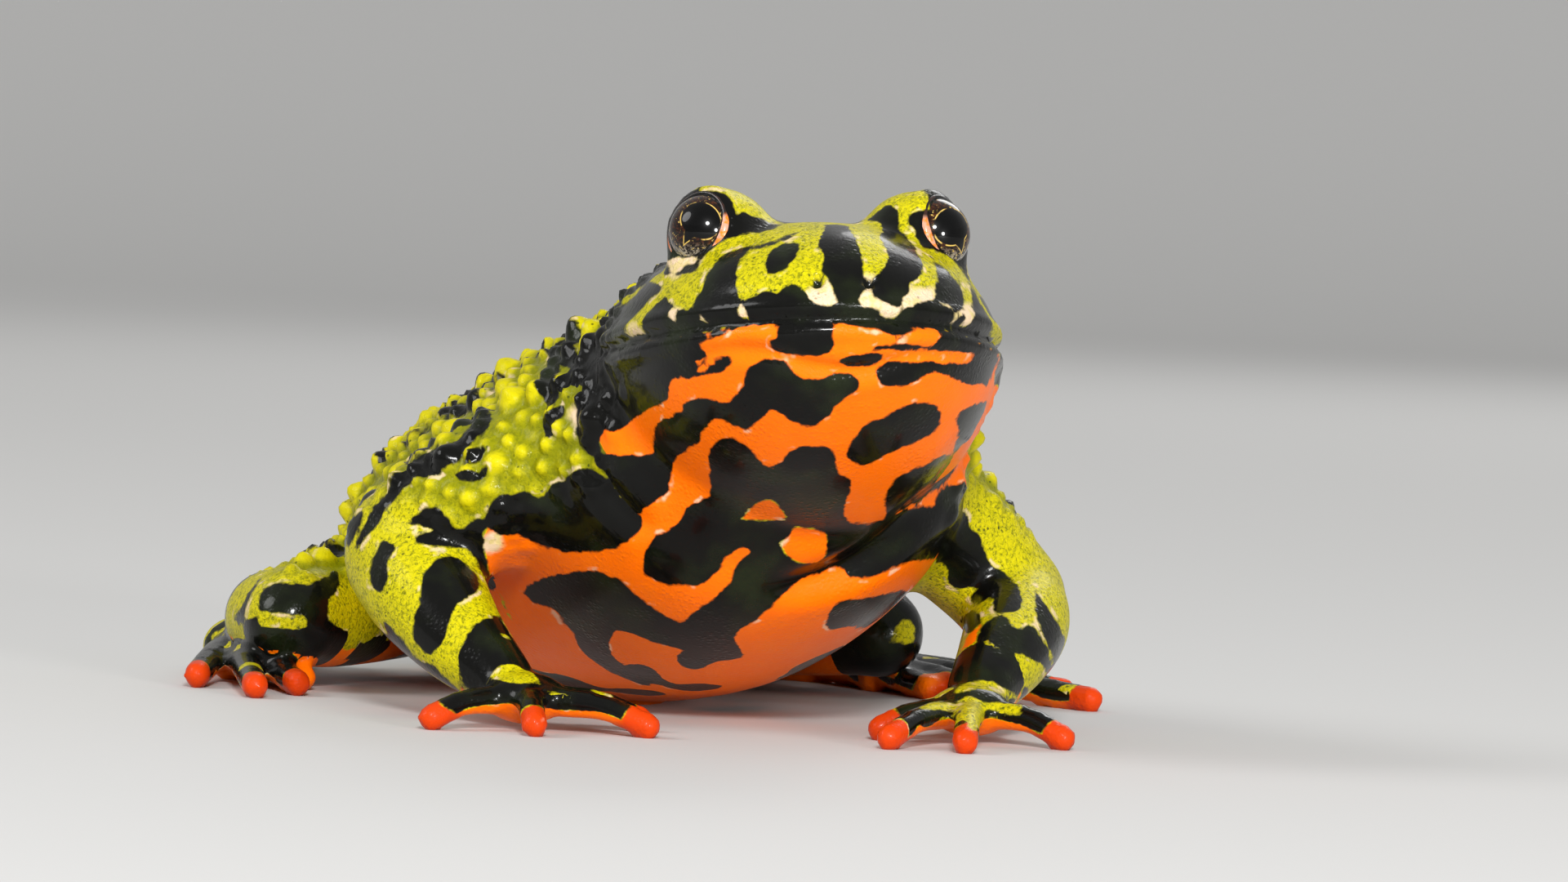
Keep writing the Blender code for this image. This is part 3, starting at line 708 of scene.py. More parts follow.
@dataclass(frozen=True)
class Head:
    """The head, in its own frame: the origin lies midway between the corners of the mouth."""

    place: Row = (0.18, -10.34, 14.2)
    yaw: float = -14.5
    pitch: float = -8.8
    roll: float = -1.5
    mouth_half_width: float = 7.4
    mouth_length: float = 11.6
    crown_height: float = 4.6
    throat_depth: float = 6.2
    chin_depth: float = 1.3
    nape_reach: float = 4.0
    even_stations: int = 18
    even_share: float = 0.88
    snout_shares: Row = (0.92, 0.95, 0.975, 0.99, 0.998)
    width_power: float = 2.15
    crown_power: float = 3.4
    throat_powers: Span = (1.9, 0.77)
    chin_power: int = 5
    nape_narrowing: float = 0.06
    nape_drop: float = 0.16
    eye_place: Row = (4.26, -5.6, 3.95)
    eye_azimuth: float = 48.0
    eye_rise: float = 10.0
    hump_radius: float = 1.95
    hump_setback: float = 1.0
    lid_ring: float = 1.47
    lid_tube: float = 0.4
    lid_offset: float = 0.3
    lid_beads: int = 40
    lip_rise: float = 0.5
    lip_swell: float = 0.2
    lip_spread: float = 0.34
    lip_fade: float = 1.5
    lip_tilt: float = 1.2
    mouth_depth: float = 0.22
    mouth_spread: float = 0.16
    nostril_place: Row = (0.97, -11.02, 1.4)
    nostril_radius: float = 0.4
    nostril_depth: float = 0.5

    def matrix(self) -> Matrix:
        """The head's own frame in the toad's frame.

        Returns:
            Its place and turn.
        """
        turn = (
            Matrix.Rotation(math.radians(self.yaw), 4, "Z")
            @ Matrix.Rotation(math.radians(self.pitch), 4, "X")
            @ Matrix.Rotation(math.radians(self.roll), 4, "Y")
        )
        return Matrix.Translation(self.place) @ turn

    def local(self, points: Array) -> Array:
        """Points in the head's own frame."""
        inverse = np.array(self.matrix().inverted())
        return points @ inverse[:3, :3].T + inverse[:3, 3]

    def eye_centre(self, side: int) -> Vector:
        """Centre of the eyeball on one side, in the head's frame."""
        return Vector((side * self.eye_place[0], *self.eye_place[1:]))

    def nostril(self, side: int) -> Array:
        """Middle of the nostril on one side, in the head's frame."""
        return np.array(self.nostril_place) * (side, 1, 1)

    def gaze(self, side: int) -> Vector:
        """Direction that the lids of one eye face, in the head's frame."""
        return heading(side * self.eye_azimuth, self.eye_rise)

    def rows(self) -> Array:
        """Head sections from the nape to the snout.

        Returns:
            Stations of x, y, z, half width, height above and height below.
        """
        near = np.linspace(-self.nape_reach, self.mouth_length * self.even_share, self.even_stations)
        tip = self.mouth_length * np.array(self.snout_shares)
        fall, rounding = self.throat_powers
        rows = []
        for reach in np.append(near, tip):
            share = max(reach, 0.0) / self.mouth_length
            drop = (min(reach, 0.0) / self.nape_reach) ** 2
            dip = (reach + self.nape_reach) / (self.mouth_length + self.nape_reach)
            side = (1 - share**self.width_power) ** 0.5 - self.nape_narrowing * drop
            top = (1 - share**self.crown_power) ** 0.5 - self.nape_drop * drop
            width, crown = self.mouth_half_width * side, self.crown_height * top
            throat = self.throat_depth * (1 - dip**fall) ** rounding
            chin = self.chin_depth * (1 - share**self.chin_power) ** 0.5
            rows.append((0, -reach, 0, width, crown, throat + chin))
        return np.array(rows)

    def add(self, clay: Clay) -> None:
        """Adds the head with its eye humps and the rims of its lids.

        Args:
            clay: The forms so far.
        """
        place = self.matrix()
        clay.loft(self.rows(), BODY_SIDES, place)
        for side in SIDES.values():
            look = self.gaze(side)
            centre = self.eye_centre(side)
            clay.ball(centre - look * self.hump_setback, (self.hump_radius,) * 3, place)
            across = look.cross(UP).normalized()
            rise = across.cross(look)
            for k in range(self.lid_beads):
                angle = 2 * math.pi * k / self.lid_beads
                rim = (across * math.cos(angle) + rise * math.sin(angle)) * self.lid_ring
                clay.ball(centre + look * self.lid_offset + rim, (self.lid_tube,) * 3, place)

    def relief(self, points: Array, normals: Array) -> Array:
        """How far the skin is pushed out for the lips and in for the mouth and nostrils.

        Args:
            points: Vertex positions.
            normals: Vertex normals.

        Returns:
            One push for each vertex.
        """
        local = self.local(points)
        upright = np.abs(normals @ np.array(self.matrix())[:3, 2])
        on_lip = np.clip(-local[:, 1] / self.lip_fade, 0, 1) * np.clip(self.lip_tilt - upright, 0, 1)
        height = np.abs(local[:, 2]) - self.lip_rise
        push = self.lip_swell * np.exp(-((height / self.lip_spread) ** 2)) * on_lip
        push -= self.mouth_depth * np.exp(-((local[:, 2] / self.mouth_spread) ** 2)) * on_lip
        for side in SIDES.values():
            away = distances(local, self.nostril(side))
            push -= self.nostril_depth * bump(away, self.nostril_radius)
        return push


@dataclass(frozen=True)
class Trunk:
    """The torso, with swellings at neck, shoulders and hips given for the left side."""

    stations: tuple[Row, ...] = (
        (0.0, -12.6, 11.4, 5.6, 3.6, 4.2),
        (0.0, -10.0, 11.2, 7.6, 5.9, 6.3),
        (0.0, -6.0, 10.2, 8.9, 6.6, 7.6),
        (0.0, -1.0, 9.0, 9.4, 6.4, 8.2),
        (0.0, 4.0, 7.8, 9.7, 6.1, 7.8),
        (0.0, 9.0, 6.8, 9.6, 5.7, 6.9),
        (0.0, 14.0, 5.9, 8.5, 5.0, 5.9),
        (0.0, 18.5, 5.0, 6.4, 4.1, 4.5),
        (0.0, 22.0, 4.2, 4.2, 2.9, 3.0),
        (0.0, 24.0, 3.9, 1.5, 1.2, 1.2),
    )
    neck: tuple[Row, Row] = ((0.1, -8.6, 13.0), (6.8, 4.6, 4.4))
    shoulder: tuple[Row, Row] = ((6.4, -4.6, 9.6), (3.1, 4.4, 4.0))
    hip: tuple[Row, Row] = ((3.8, 17.0, 4.4), (3.2, 4.4, 3.2))
    belly_drop: float = 2.4
    belly_wave: Wobble = Wobble(1.0, 4.0, 5)

    def add(self, clay: Clay) -> None:
        """Adds the torso and its swellings.

        Args:
            clay: The forms so far.
        """
        clay.loft(smooth_path(self.stations), BODY_SIDES)
        clay.ball(*self.neck)
        for side in SIDES.values():
            for (x, y, z), radii in (self.shoulder, self.hip):
                clay.ball((side * x, y, z), radii)

    def belly(self, points: Array) -> Array:
        """How far points lie below the wavy line where the back's colour ends.

        Args:
            points: Places in millimetres.

        Returns:
            One depth for each point.
        """
        rows = np.array(self.stations)
        spine = np.interp(points[:, 1], rows[:, 1], rows[:, 2])
        return spine - self.belly_drop - points[:, 2] + self.belly_wave.at(points)


@dataclass(frozen=True)
class Arm:
    """One arm: stations of x, y, z and radius, the palm's middle and the fingertips."""

    upper: tuple[Row, ...]
    fore: tuple[Row, ...]
    palm: Row
    fingertips: tuple[tuple[float, float], ...]
    palm_radii: Row = (1.6, 1.5, 1.0)
    finger_radius: float = 0.5
    knuckle_radius: float = 0.6
    knuckle_share: float = 0.3
    knuckle_lift: float = 0.15
    joint_share: float = 0.65
    joint_lift: float = 0.3
    joint_thinning: float = 0.01
    tip_sink: float = 0.06

    def tips(self) -> list[Vector]:
        """Middles of the fingertips."""
        return [Vector((x, y, self.finger_radius - self.tip_sink)) for x, y in self.fingertips]

    def fingers(self) -> list[tuple[Row, ...]]:
        """Stations of each finger, arched a little between palm and tip.

        Returns:
            One chain for each finger.
        """
        palm = Vector(self.palm)
        rows = []
        for end in self.tips():
            knuckle = palm.lerp(end, self.knuckle_share) + UP * self.knuckle_lift
            middle = palm.lerp(end, self.joint_share) + UP * self.joint_lift
            joint = (*middle, self.finger_radius - self.joint_thinning)
            rows.append(((*knuckle, self.knuckle_radius), joint, (*end, self.finger_radius)))
        return rows

    def add(self, clay: Clay) -> None:
        """Adds upper arm, forearm, palm and fingers.

        Args:
            clay: The forms so far.
        """
        clay.limb(self.upper)
        clay.limb(self.fore)
        clay.ball(self.palm, self.palm_radii)
        for stations in self.fingers():
            clay.limb(stations, DIGIT_SIDES)

    def segments(self) -> list[tuple[Row, ...]]:
        """The chains of stations that its cross bands follow."""
        return [self.upper, self.fore]

    def digits(self) -> list[tuple[Row, ...]]:
        """The chains of stations of hand and fingers."""
        return [(self.fore[-1], (*self.palm, self.palm_radii[2])), *self.fingers()]


@dataclass(frozen=True)
class Leg:
    """One leg: stations of x, y, z and radius, and the tips of the toes."""

    side: int
    tarsus_out: tuple[Row, ...]
    toe_tips_out: tuple[tuple[float, float], ...]
    thigh_out: tuple[Row, ...] = (
        (3.0, 17.6, 3.9, 2.7),
        (6.6, 15.2, 3.4, 2.65),
        (10.0, 12.0, 3.0, 2.35),
        (12.4, 9.4, 2.8, 1.95),
    )
    shank_out: tuple[Row, ...] = (
        (12.6, 9.2, 2.7, 1.9),
        (12.2, 12.8, 2.6, 1.9),
        (10.4, 17.4, 2.1, 1.65),
        (8.2, 21.0, 1.5, 1.2),
    )
    toe_radius: float = 0.55
    toe_radii: Row = (0.75, 0.6, 0.52)
    toe_root_share: float = 0.08
    toe_bend_share: float = 0.5
    toe_lift: float = 0.15
    tip_sink: float = 0.06
    web_thickness: float = 0.6
    web_base: float = 0.12
    web_share: float = 0.5
    web_middle_share: float = 0.4

    def tips(self) -> list[Vector]:
        """Middles of the toe tips."""
        height = self.toe_radius - self.tip_sink
        return [Vector((self.side * x, y, height)) for x, y in self.toe_tips_out]

    def root(self) -> Vector:
        """Where the toes spring from."""
        x, y, z, _ = self.tarsus_out[-1]
        return Vector((self.side * x, y, z))

    def toes(self) -> list[tuple[Row, ...]]:
        """Stations of each toe.

        Returns:
            One chain for each toe.
        """
        root = self.root()
        rows = []
        for tip in self.tips():
            start = root.lerp(tip, self.toe_root_share)
            middle = root.lerp(tip, self.toe_bend_share) + UP * self.toe_lift
            rows.append(tuple((*spot, r) for spot, r in zip((start, middle, tip), self.toe_radii)))
        return rows

    def add_web(self, clay: Clay, first: Vector, second: Vector) -> None:
        """Adds the web between two toes, scalloped at its free edge.

        Args:
            clay: The forms so far.
            first: Tip of one toe.
            second: Tip of the next.
        """
        bm, root = bmesh.new(), self.root()
        between = root.lerp((first + second) / 2, self.web_middle_share)
        edge = (root.lerp(first, self.web_share), between, root.lerp(second, self.web_share))
        web = bm.faces.new([bm.verts.new((c.x, c.y, self.web_base)) for c in (root, *edge)])
        made = bmesh.ops.extrude_face_region(bm, geom=[web])["geom"]
        raised = [item for item in made if isinstance(item, bmesh.types.BMVert)]
        bmesh.ops.translate(bm, verts=raised, vec=(0, 0, self.web_thickness))
        clay.take(bm)

    def add(self, clay: Clay) -> None:
        """Adds thigh, shank, tarsus, toes and webs.

        Args:
            clay: The forms so far.
        """
        for stations in self.segments():
            clay.limb(stations)
        for stations in self.toes():
            clay.limb(stations, DIGIT_SIDES)
        tips = self.tips()
        for first, second in zip(tips, tips[1:]):
            self.add_web(clay, first, second)

    def segments(self) -> list[tuple[Row, ...]]:
        """The chains of stations that its cross bands follow."""
        chains = (self.thigh_out, self.shank_out, self.tarsus_out)
        return [mirrored(chain, self.side) for chain in chains]

    def digits(self) -> list[tuple[Row, ...]]:
        """The chains of stations of the toes."""
        return self.toes()


@dataclass(frozen=True)
class Camera:
    """The camera that the toad is seen with, fitted to the pixels of the frame."""

    azimuth: float = -23.0
    elevation: float = 2.0
    roll: float = 2.5
    distance: float = 300.0
    target: Row = (-2.77, -16.2, 19.2)
    target_pixel: tuple[int, int] = (1011, 278)
    frame: tuple[int, int] = (1920, 1080)
    pixels_per_mm: float = 33.0
    sensor: float = 36.0
    near: float = 10.0
    far: float = 20000.0

    def matrix(self) -> Matrix:
        """Place and turn of the camera in millimetres.

        Returns:
            Its matrix.
        """
        back = heading(self.azimuth, self.elevation)
        turn = (-back).to_track_quat("-Z", "Y").to_matrix().to_4x4()
        turn = turn @ Matrix.Rotation(math.radians(self.roll), 4, "Z")
        right, up = turn.col[0].to_3d(), turn.col[1].to_3d()
        aside = (self.target_pixel[0] - self.frame[0] / 2) / self.pixels_per_mm
        below = (self.target_pixel[1] - self.frame[1] / 2) / self.pixels_per_mm
        place = Vector(self.target) + back * self.distance - right * aside + up * below
        return Matrix.Translation(place) @ turn

    def pixels(self, points: Array) -> Array:
        """Where points in millimetres fall in the frame.

        Args:
            points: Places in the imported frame.

        Returns:
            One pixel for each point.
        """
        inverse = np.array(self.matrix().inverted())
        seen = points @ inverse[:3, :3].T + inverse[:3, 3]
        scale = self.pixels_per_mm * self.distance / -seen[:, 2]
        x = self.frame[0] / 2 + seen[:, 0] * scale
        y = self.frame[1] / 2 - seen[:, 1] * scale
        return np.stack([x, y], axis=1)

    def facing(self, points: Array, normals: Array) -> Array:
        """How squarely the skin faces the camera, from -1 to 1.

        Args:
            points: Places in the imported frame.
            normals: The skin's normals there.

        Returns:
            One value for each point.
        """
        towards = np.array(self.matrix().translation) - points
        towards /= np.linalg.norm(towards, axis=1)[:, None]
        return np.sum(towards * normals, axis=1)

    def add(self) -> None:
        """Puts the camera into the scene."""
        data = bpy.data.cameras.new("camera")
        data.sensor_width = self.sensor
        data.lens = self.sensor * self.distance * self.pixels_per_mm / self.frame[0]
        data.clip_start, data.clip_end = self.near * MM, self.far * MM
        obj = bpy.data.objects.new("camera", data)
        matrix = self.matrix()
        matrix.translation *= MM
        obj.matrix_world = matrix
        bpy.context.scene.collection.objects.link(obj)
        bpy.context.scene.camera = obj


@dataclass
class Coat:
    """Depths of the paints over the skin, in millimetres, positive where a paint shows."""

    dark: Array
    orange: Array
    pale: Array
    sink: float = 0.3

    @classmethod
    def plain(cls, count: int, dark: float, orange: float) -> "Coat":
        """A coat of one ground colour."""
        return cls(np.full(count, dark), np.full(count, orange), np.full(count, -1.0))

    def paint(self, paint: Paint, depth: Array) -> None:
        """Lays a marking over what is there.

        Args:
            paint: The marking's paint.
            depth: How deep each vertex lies inside the marking.
        """
        if paint is Paint.DARK:
            self.dark = np.maximum(self.dark, depth)
            self.orange = np.minimum(self.orange, self.sink - depth)
        else:
            self.dark = np.minimum(self.dark, -depth)
        if paint is Paint.ORANGE:
            self.orange = np.maximum(self.orange, depth)
        if paint is Paint.GREEN:
            self.orange = np.minimum(self.orange, -depth)
        if paint is Paint.PALE:
            self.pale = np.maximum(self.pale, depth)
        else:
            self.pale = np.minimum(self.pale, -depth)

    def blend(self, other: "Coat", share: Array) -> None:
        """Goes over to another coat by a share for each vertex.

        Args:
            other: The other coat.
            share: How much of it shows.
        """
        for name in ("dark", "orange", "pale"):
            mixed = (1 - share) * getattr(self, name) + share * getattr(other, name)
            setattr(self, name, mixed)


@dataclass(frozen=True)
class Markings:
    """The toad's colours: outlines where the camera sees them, blotches and bands elsewhere."""

    head: Head
    trunk: Trunk
    arms: dict[str, Arm]
    legs: dict[str, Leg]
    camera: Camera
    reach: float = 1.0
    outline_steps: int = 3
    seen_facing: Span = (0.03, 0.15)
    clearance: float = 0.3
    edge_passes: int = 12
    limb_edge: Span = (0.3, 0.6)
    face_back: float = 1.5
    face_half_width: float = 9.0
    lip_depth: float = 1.1
    mouth_line: Span = (-0.16, 0.14)
    jaw_depth: float = 1.3
    jaw_back: float = 0.5
    head_edge: Span = (-1.0, 1.0)
    # Radius of the painted shade in each nostril pit.
    nostril_shade_size: float = 0.24
    fold_swell: float = 0.35
    fold_swell_place: float = 2.2
    fold_fade: float = 0.6
    hidden_rows: Span = (755.0, 800.0)
    back_blotches: int = 320
    belly_blotches: int = 170
    blotch_step: float = 1.7
    blotch_steps: tuple[int, int] = (1, 4)
    blotch_shrink: Span = (0.6, 1.0)
    blotch_turn: float = 0.4
    back_radii: Span = (0.5, 1.25)
    belly_radii: Span = (0.8, 1.5)
    blotch_spacing: float = 2.7
    blotch_edge: Wobble = Wobble(0.25, 1.2, 23)
    band_period: float = 4.4
    band_gap: float = 0.1
    band_slope: float = 5.0
    band_wander: Wobble = Wobble(1.0, 3.0, 9)
    under_facing: float = -0.35
    under_slope: float = 1.5
    under_edge: Wobble = Wobble(0.2, 2.0, 3)
    digit_flecks: Wobble = Wobble(1.0, 1.1, 31)
    fleck_least: float = 0.9
    fleck_depth: float = 0.5
    fleck_facing: float = 0.3
    sole_facing: float = -0.3
    sole_edge: Wobble = Wobble(0.2, 0.9, 8)
    tip_edge: Wobble = Wobble(0.12, 0.8, 41)
    tip_reach: float = 0.8
    glow_reach: Span = (0.8, 1.6)
    glow_cover: Span = (0.9, 1.6)
    hand_share: float = 0.5
    seed: int = 23

    def ground(self, points: Array, dark: int) -> Coat:
        """A coat of one ground colour: -1 is lime green and 1 is black."""
        return Coat.plain(len(points), dark * self.reach, -self.reach)

    def clipped(self, depth: Array) -> Array:
        """Depths kept between minus and plus the reach."""
        return np.clip(depth, -self.reach, self.reach)

    def limbs(self) -> list[Arm | Leg]:
        """All four limbs."""
        return [*self.arms.values(), *self.legs.values()]

    def depth(self, pixels: Array, outline: Outline) -> Array:
        """How deep pixels lie inside an outline.

        Args:
            pixels: Places in the frame.
            outline: The marking.

        Returns:
            Depths in millimetres, negative outside and no less than minus the reach.
        """
        corners = corner_rows(outline.corners)
        closed = smooth_path(np.vstack([corners, corners[:1]]), self.outline_steps)
        margin = self.reach * self.camera.pixels_per_mm
        low, high = corners.min(axis=0) - margin, corners.max(axis=0) + margin
        near = np.all((pixels > low) & (pixels < high), axis=1)
        x, y = pixels[near].T
        nearest = np.full(len(x), margin)
        inside = np.zeros(len(x), bool)
        for (ax, ay), (bx, by) in zip(closed, closed[1:]):
            wide, tall = bx - ax, by - ay
            share = ((x - ax) * wide + (y - ay) * tall) / max(wide**2 + tall**2, TINY)
            share = np.clip(share, 0, 1)
            away = np.hypot(x - ax - share * wide, y - ay - share * tall)
            nearest = np.minimum(nearest, away)
            if tall:
                inside ^= ((ay > y) != (by > y)) & (x < ax + (y - ay) * wide / tall)
        result = np.full(len(pixels), -self.reach)
        signed = np.where(inside, nearest, -nearest) / self.camera.pixels_per_mm
        result[near] = np.minimum(signed, self.reach)
        return result

    def seen(self, points: Array, pixels: Array) -> Coat:
        """The coat as the camera sees it.

        Args:
            points: Vertex positions in the toad's own frame.
            pixels: Where they fall in the frame.

        Returns:
            The coat, right only where the skin faces the camera.
        """
        local = self.head.local(points)
        on_head = (local[:, 1] < self.face_back) & (np.abs(local[:, 0]) < self.face_half_width)
        lip = on_head & (np.abs(local[:, 2] + self.lip_depth / 2) < self.lip_depth / 2)
        coat = self.ground(points, -1)
        coat.dark[lip] = self.reach
        for outline in (*BACK_MARKS, *FLANK_MARKS, *THROAT_MARKS):
            coat.paint(outline.paint, self.depth(pixels, outline))
        face = self.ground(points, 1)
        for outline in HEAD_MARKS:
            face.paint(outline.paint, self.depth(pixels, outline))
        coat.blend(face, (on_head & (local[:, 2] > 0)).astype(float))
        low, high = self.mouth_line
        line = (high - low) / 2 - np.abs(local[:, 2] - (high + low) / 2)
        coat.paint(Paint.DARK, np.where(on_head, self.clipped(line), -self.reach))
        for limb, marks in (
            (self.arms["right"], (*BACK_MARKS, *THROAT_MARKS, *RIGHT_ARM_MARKS)),
            (self.arms["left"], LEFT_ARM_MARKS),
            (self.legs["right"], RIGHT_LEG_MARKS),
        ):
            coloured = self.ground(points, -1)
            for outline in marks:
                coloured.paint(outline.paint, self.depth(pixels, outline))
            coat.blend(coloured, self.limb_share(points, limb))
        return coat

    def limb_share(self, points: Array, limb: Arm | Leg) -> Array:
        """How much each vertex belongs to a limb."""
        return self.chain_share(points, [*limb.segments(), *limb.digits()])

    def chain_share(self, points: Array, chains: list[tuple[Row, ...]]) -> Array:
        """How much each vertex belongs to chains of stations."""
        outside = np.min([limb_place(points, chain)[0] for chain in chains], axis=0)
        return 1 - rising(outside, *self.limb_edge)

    def blotches(self, points: Array, where: Array, count: int, radii: Span, seed: int) -> Array:
        """Seeded blotches over part of the skin.

        Args:
            points: Vertex positions.
            where: Which vertices a blotch may start from.
            count: How many are tried.
            radii: Least and greatest radius.
            seed: What they are drawn from.

        Returns:
            How deep each vertex lies inside a blotch.
        """
        draw = random.Random(seed)
        choices = np.flatnonzero(where)
        tree = search_tree(points)
        starts: list[Vector] = []
        depth = np.full(len(points), -self.reach)
        for _ in range(count):
            spot = Vector(points[choices[draw.randrange(len(choices))]])
            turn = Vector([draw.gauss(0, 1) for _ in range(3)]).normalized()
            radius = draw.uniform(*radii)
            if any((spot - other).length < self.blotch_spacing for other in starts):
                continue
            starts.append(spot)
            for _ in range(draw.randrange(*self.blotch_steps)):
                following = Vector(tree.find(spot + turn * self.blotch_step)[0])
                smaller = radius * draw.uniform(*self.blotch_shrink)
                chain = ((*spot, radius), (*following, smaller))
                depth = np.maximum(depth, -limb_place(points, chain)[0])
                bend = Vector([draw.gauss(0, self.blotch_turn) for _ in range(3)])
                turn = (following - spot).normalized() + bend
                spot, radius = following, smaller
        return depth

    def unseen(self, points: Array, normals: Array) -> Coat:
        """The coat of back, belly and sides, drawn as the species wears it.

        Args:
            points: Vertex positions in the toad's own frame.
            normals: Vertex normals.

        Returns:
            The coat.
        """
        belly = self.clipped(self.trunk.belly(points))
        local = self.head.local(points)
        throat = self.clipped(-self.jaw_depth - local[:, 2])
        on_head = rising(-local[:, 1], *self.head_edge)
        belly = (1 - on_head) * belly + on_head * throat
        coat = self.ground(points, -1)
        coat.orange = belly
        above = self.blotches(points, belly < 0, self.back_blotches, self.back_radii, self.seed)
        below = self.blotches(points, belly > 0, self.belly_blotches, self.belly_radii, self.seed + 1)
        rough = self.blotch_edge.at(points)
        coat.dark = np.where(belly < 0, above, below) + rough
        jaw = self.jaw_depth / 2 - np.abs(local[:, 2] + self.jaw_depth / 2)
        jaw = np.where(local[:, 1] < self.jaw_back, self.clipped(jaw), -self.reach)
        coat.dark = np.maximum(coat.dark, jaw + rough)
        under = (self.under_facing - normals[:, 2]) * self.under_slope + self.under_edge.at(points)
        wander = self.band_wander.at(points)
        for limb in self.limbs():
            for stations in limb.segments():
                outside, along = limb_place(points, stations)
                wave = np.cos(2 * math.pi * along / self.band_period + wander)
                bands = self.ground(points, -1)
                bands.dark = (wave - self.band_gap) * self.band_period / self.band_slope + rough
                bands.orange = under
                coat.blend(bands, 1 - rising(outside, *self.limb_edge))
        return coat

    def dress_digits(self, coat: Coat, points: Array, normals: Array) -> None:
        """Makes hands and feet dark with green flecks, and their tips orange.

        Args:
            coat: The coat to change.
            points: Vertex positions in the toad's own frame.
            normals: Vertex normals.
        """
        fleck = (self.digit_flecks.at(points) - self.fleck_least) * self.fleck_depth
        fleck = np.where(normals[:, 2] > self.fleck_facing, fleck, -self.reach)
        sole = self.clipped((self.sole_facing - normals[:, 2]) + self.sole_edge.at(points))
        reach = self.tip_reach + self.tip_edge.at(points)
        for limb in self.limbs():
            digits = self.ground(points, 1)
            digits.paint(Paint.GREEN, fleck)
            digits.paint(Paint.ORANGE, sole)
            for tip in limb.tips():
                digits.paint(Paint.ORANGE, self.clipped(reach - distances(points, tip)))
            coat.blend(digits, self.chain_share(points, limb.digits()))

    def tip_glow(self, points: Array) -> Array:
        """How red the orange is: 1 at the tips of fingers and toes that lie free.

        Args:
            points: Vertex positions.

        Returns:
            One share for each vertex.
        """
        glow = np.zeros(len(points))
        for limb in self.limbs():
            for tip in limb.tips():
                glow = np.maximum(glow, 1 - rising(distances(points, tip), *self.glow_reach))
        for leg in self.legs.values():
            thigh, shank, _ = leg.segments()
            for stations in (thigh, shank):
                glow *= rising(limb_place(points, stations)[0], *self.glow_cover)
        return glow

    def in_view(self, mesh: bpy.types.Mesh, points: Array, normals: Array) -> Array:
        """How far each vertex is in the camera's view: 0 where the skin turns away or is hidden.

        Args:
            mesh: The skin.
            points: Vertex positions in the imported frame.
            normals: Vertex normals.

        Returns:
            Shares from 0 to 1.
        """
        share = rising(self.camera.facing(points, normals), *self.seen_facing)
        faces = [tuple(face.vertices) for face in mesh.polygons]
        tree = BVHTree.FromPolygons(points.tolist(), faces)
        eye = self.camera.matrix().translation
        for index in np.flatnonzero(share):
            start = Vector(points[index]) + Vector(normals[index]) * self.clearance
            if tree.ray_cast(start, (eye - start).normalized())[0]:
                share[index] = 0.0
        first, second = read_edges(mesh)
        count = np.bincount(np.concatenate((first, second)), minlength=len(points))
        soft = share
        for _ in range(self.edge_passes):
            total = np.bincount(first, soft[second], len(points))
            total += np.bincount(second, soft[first], len(points))
            soft = np.maximum(share, total / count)
        return soft

    def creases(self, mesh: bpy.types.Mesh) -> Array:
        """How far the skin is drawn in along its folds, and swells beside them.

        Args:
            mesh: The skin in the toad's own frame, before it gets its relief.

        Returns:
            One push for each vertex, in millimetres.
        """
        points, normals = read_points(mesh), read_normals(mesh)
        packed = points + np.array(ORIGIN_SHIFT)
        scale = self.camera.pixels_per_mm
        flat = np.column_stack((self.camera.pixels(packed) / scale, np.zeros(len(points))))
        push = np.zeros(len(points))
        for fold in FOLDS:
            line = tuple((x / scale, y / scale, 0.0, 0.0) for x, y in corner_rows(fold.corners))
            away, along = limb_place(flat, line)
            fade = np.sin(math.pi * along / along.max()) ** self.fold_fade
            groove = np.exp(-((away / fold.width) ** 2))
            swell = np.exp(-((away / fold.width - self.fold_swell_place) ** 2))
            push += fold.depth * fade * (self.fold_swell * swell - groove)
        return push * self.in_view(mesh, packed, normals)

    def write(self, mesh: bpy.types.Mesh) -> None:
        """Keeps the whole coat in the mesh, as depths that the skin's material reads.

        Args:
            mesh: The skin in the toad's own frame, before it gets its relief.
        """
        points, normals = read_points(mesh), read_normals(mesh)
        packed = points + np.array(ORIGIN_SHIFT)
        coat = self.unseen(points, normals)
        pixels = self.camera.pixels(packed)
        shown = self.in_view(mesh, packed, normals)
        shown *= 1 - self.limb_share(points, self.legs["left"])
        arms = [self.limb_share(points, arm) for arm in self.arms.values()]
        low = rising(pixels[:, 1], *self.hidden_rows)
        shown *= 1 - low * (1 - np.max(arms, axis=0))
        coat.blend(self.seen(points, pixels), shown)
        local = self.head.local(points)
        # Painted shade: the nostril pits are painted dark.
        for side in SIDES.values():
            nostril_shade = self.nostril_shade_size - distances(local, self.head.nostril(side))
            coat.paint(Paint.DARK, self.clipped(nostril_shade))
        self.dress_digits(coat, points, normals)
        on_hand = shown * self.limb_share(points, self.arms["left"]) > self.hand_share
        for outline in HAND_MARKS:
            coat.paint(outline.paint, np.where(on_hand, self.depth(pixels, outline), -self.reach))
        for name in ("dark", "orange", "pale"):
            write_attribute(mesh, name, getattr(coat, name))
        write_attribute(mesh, "tip", self.tip_glow(points))


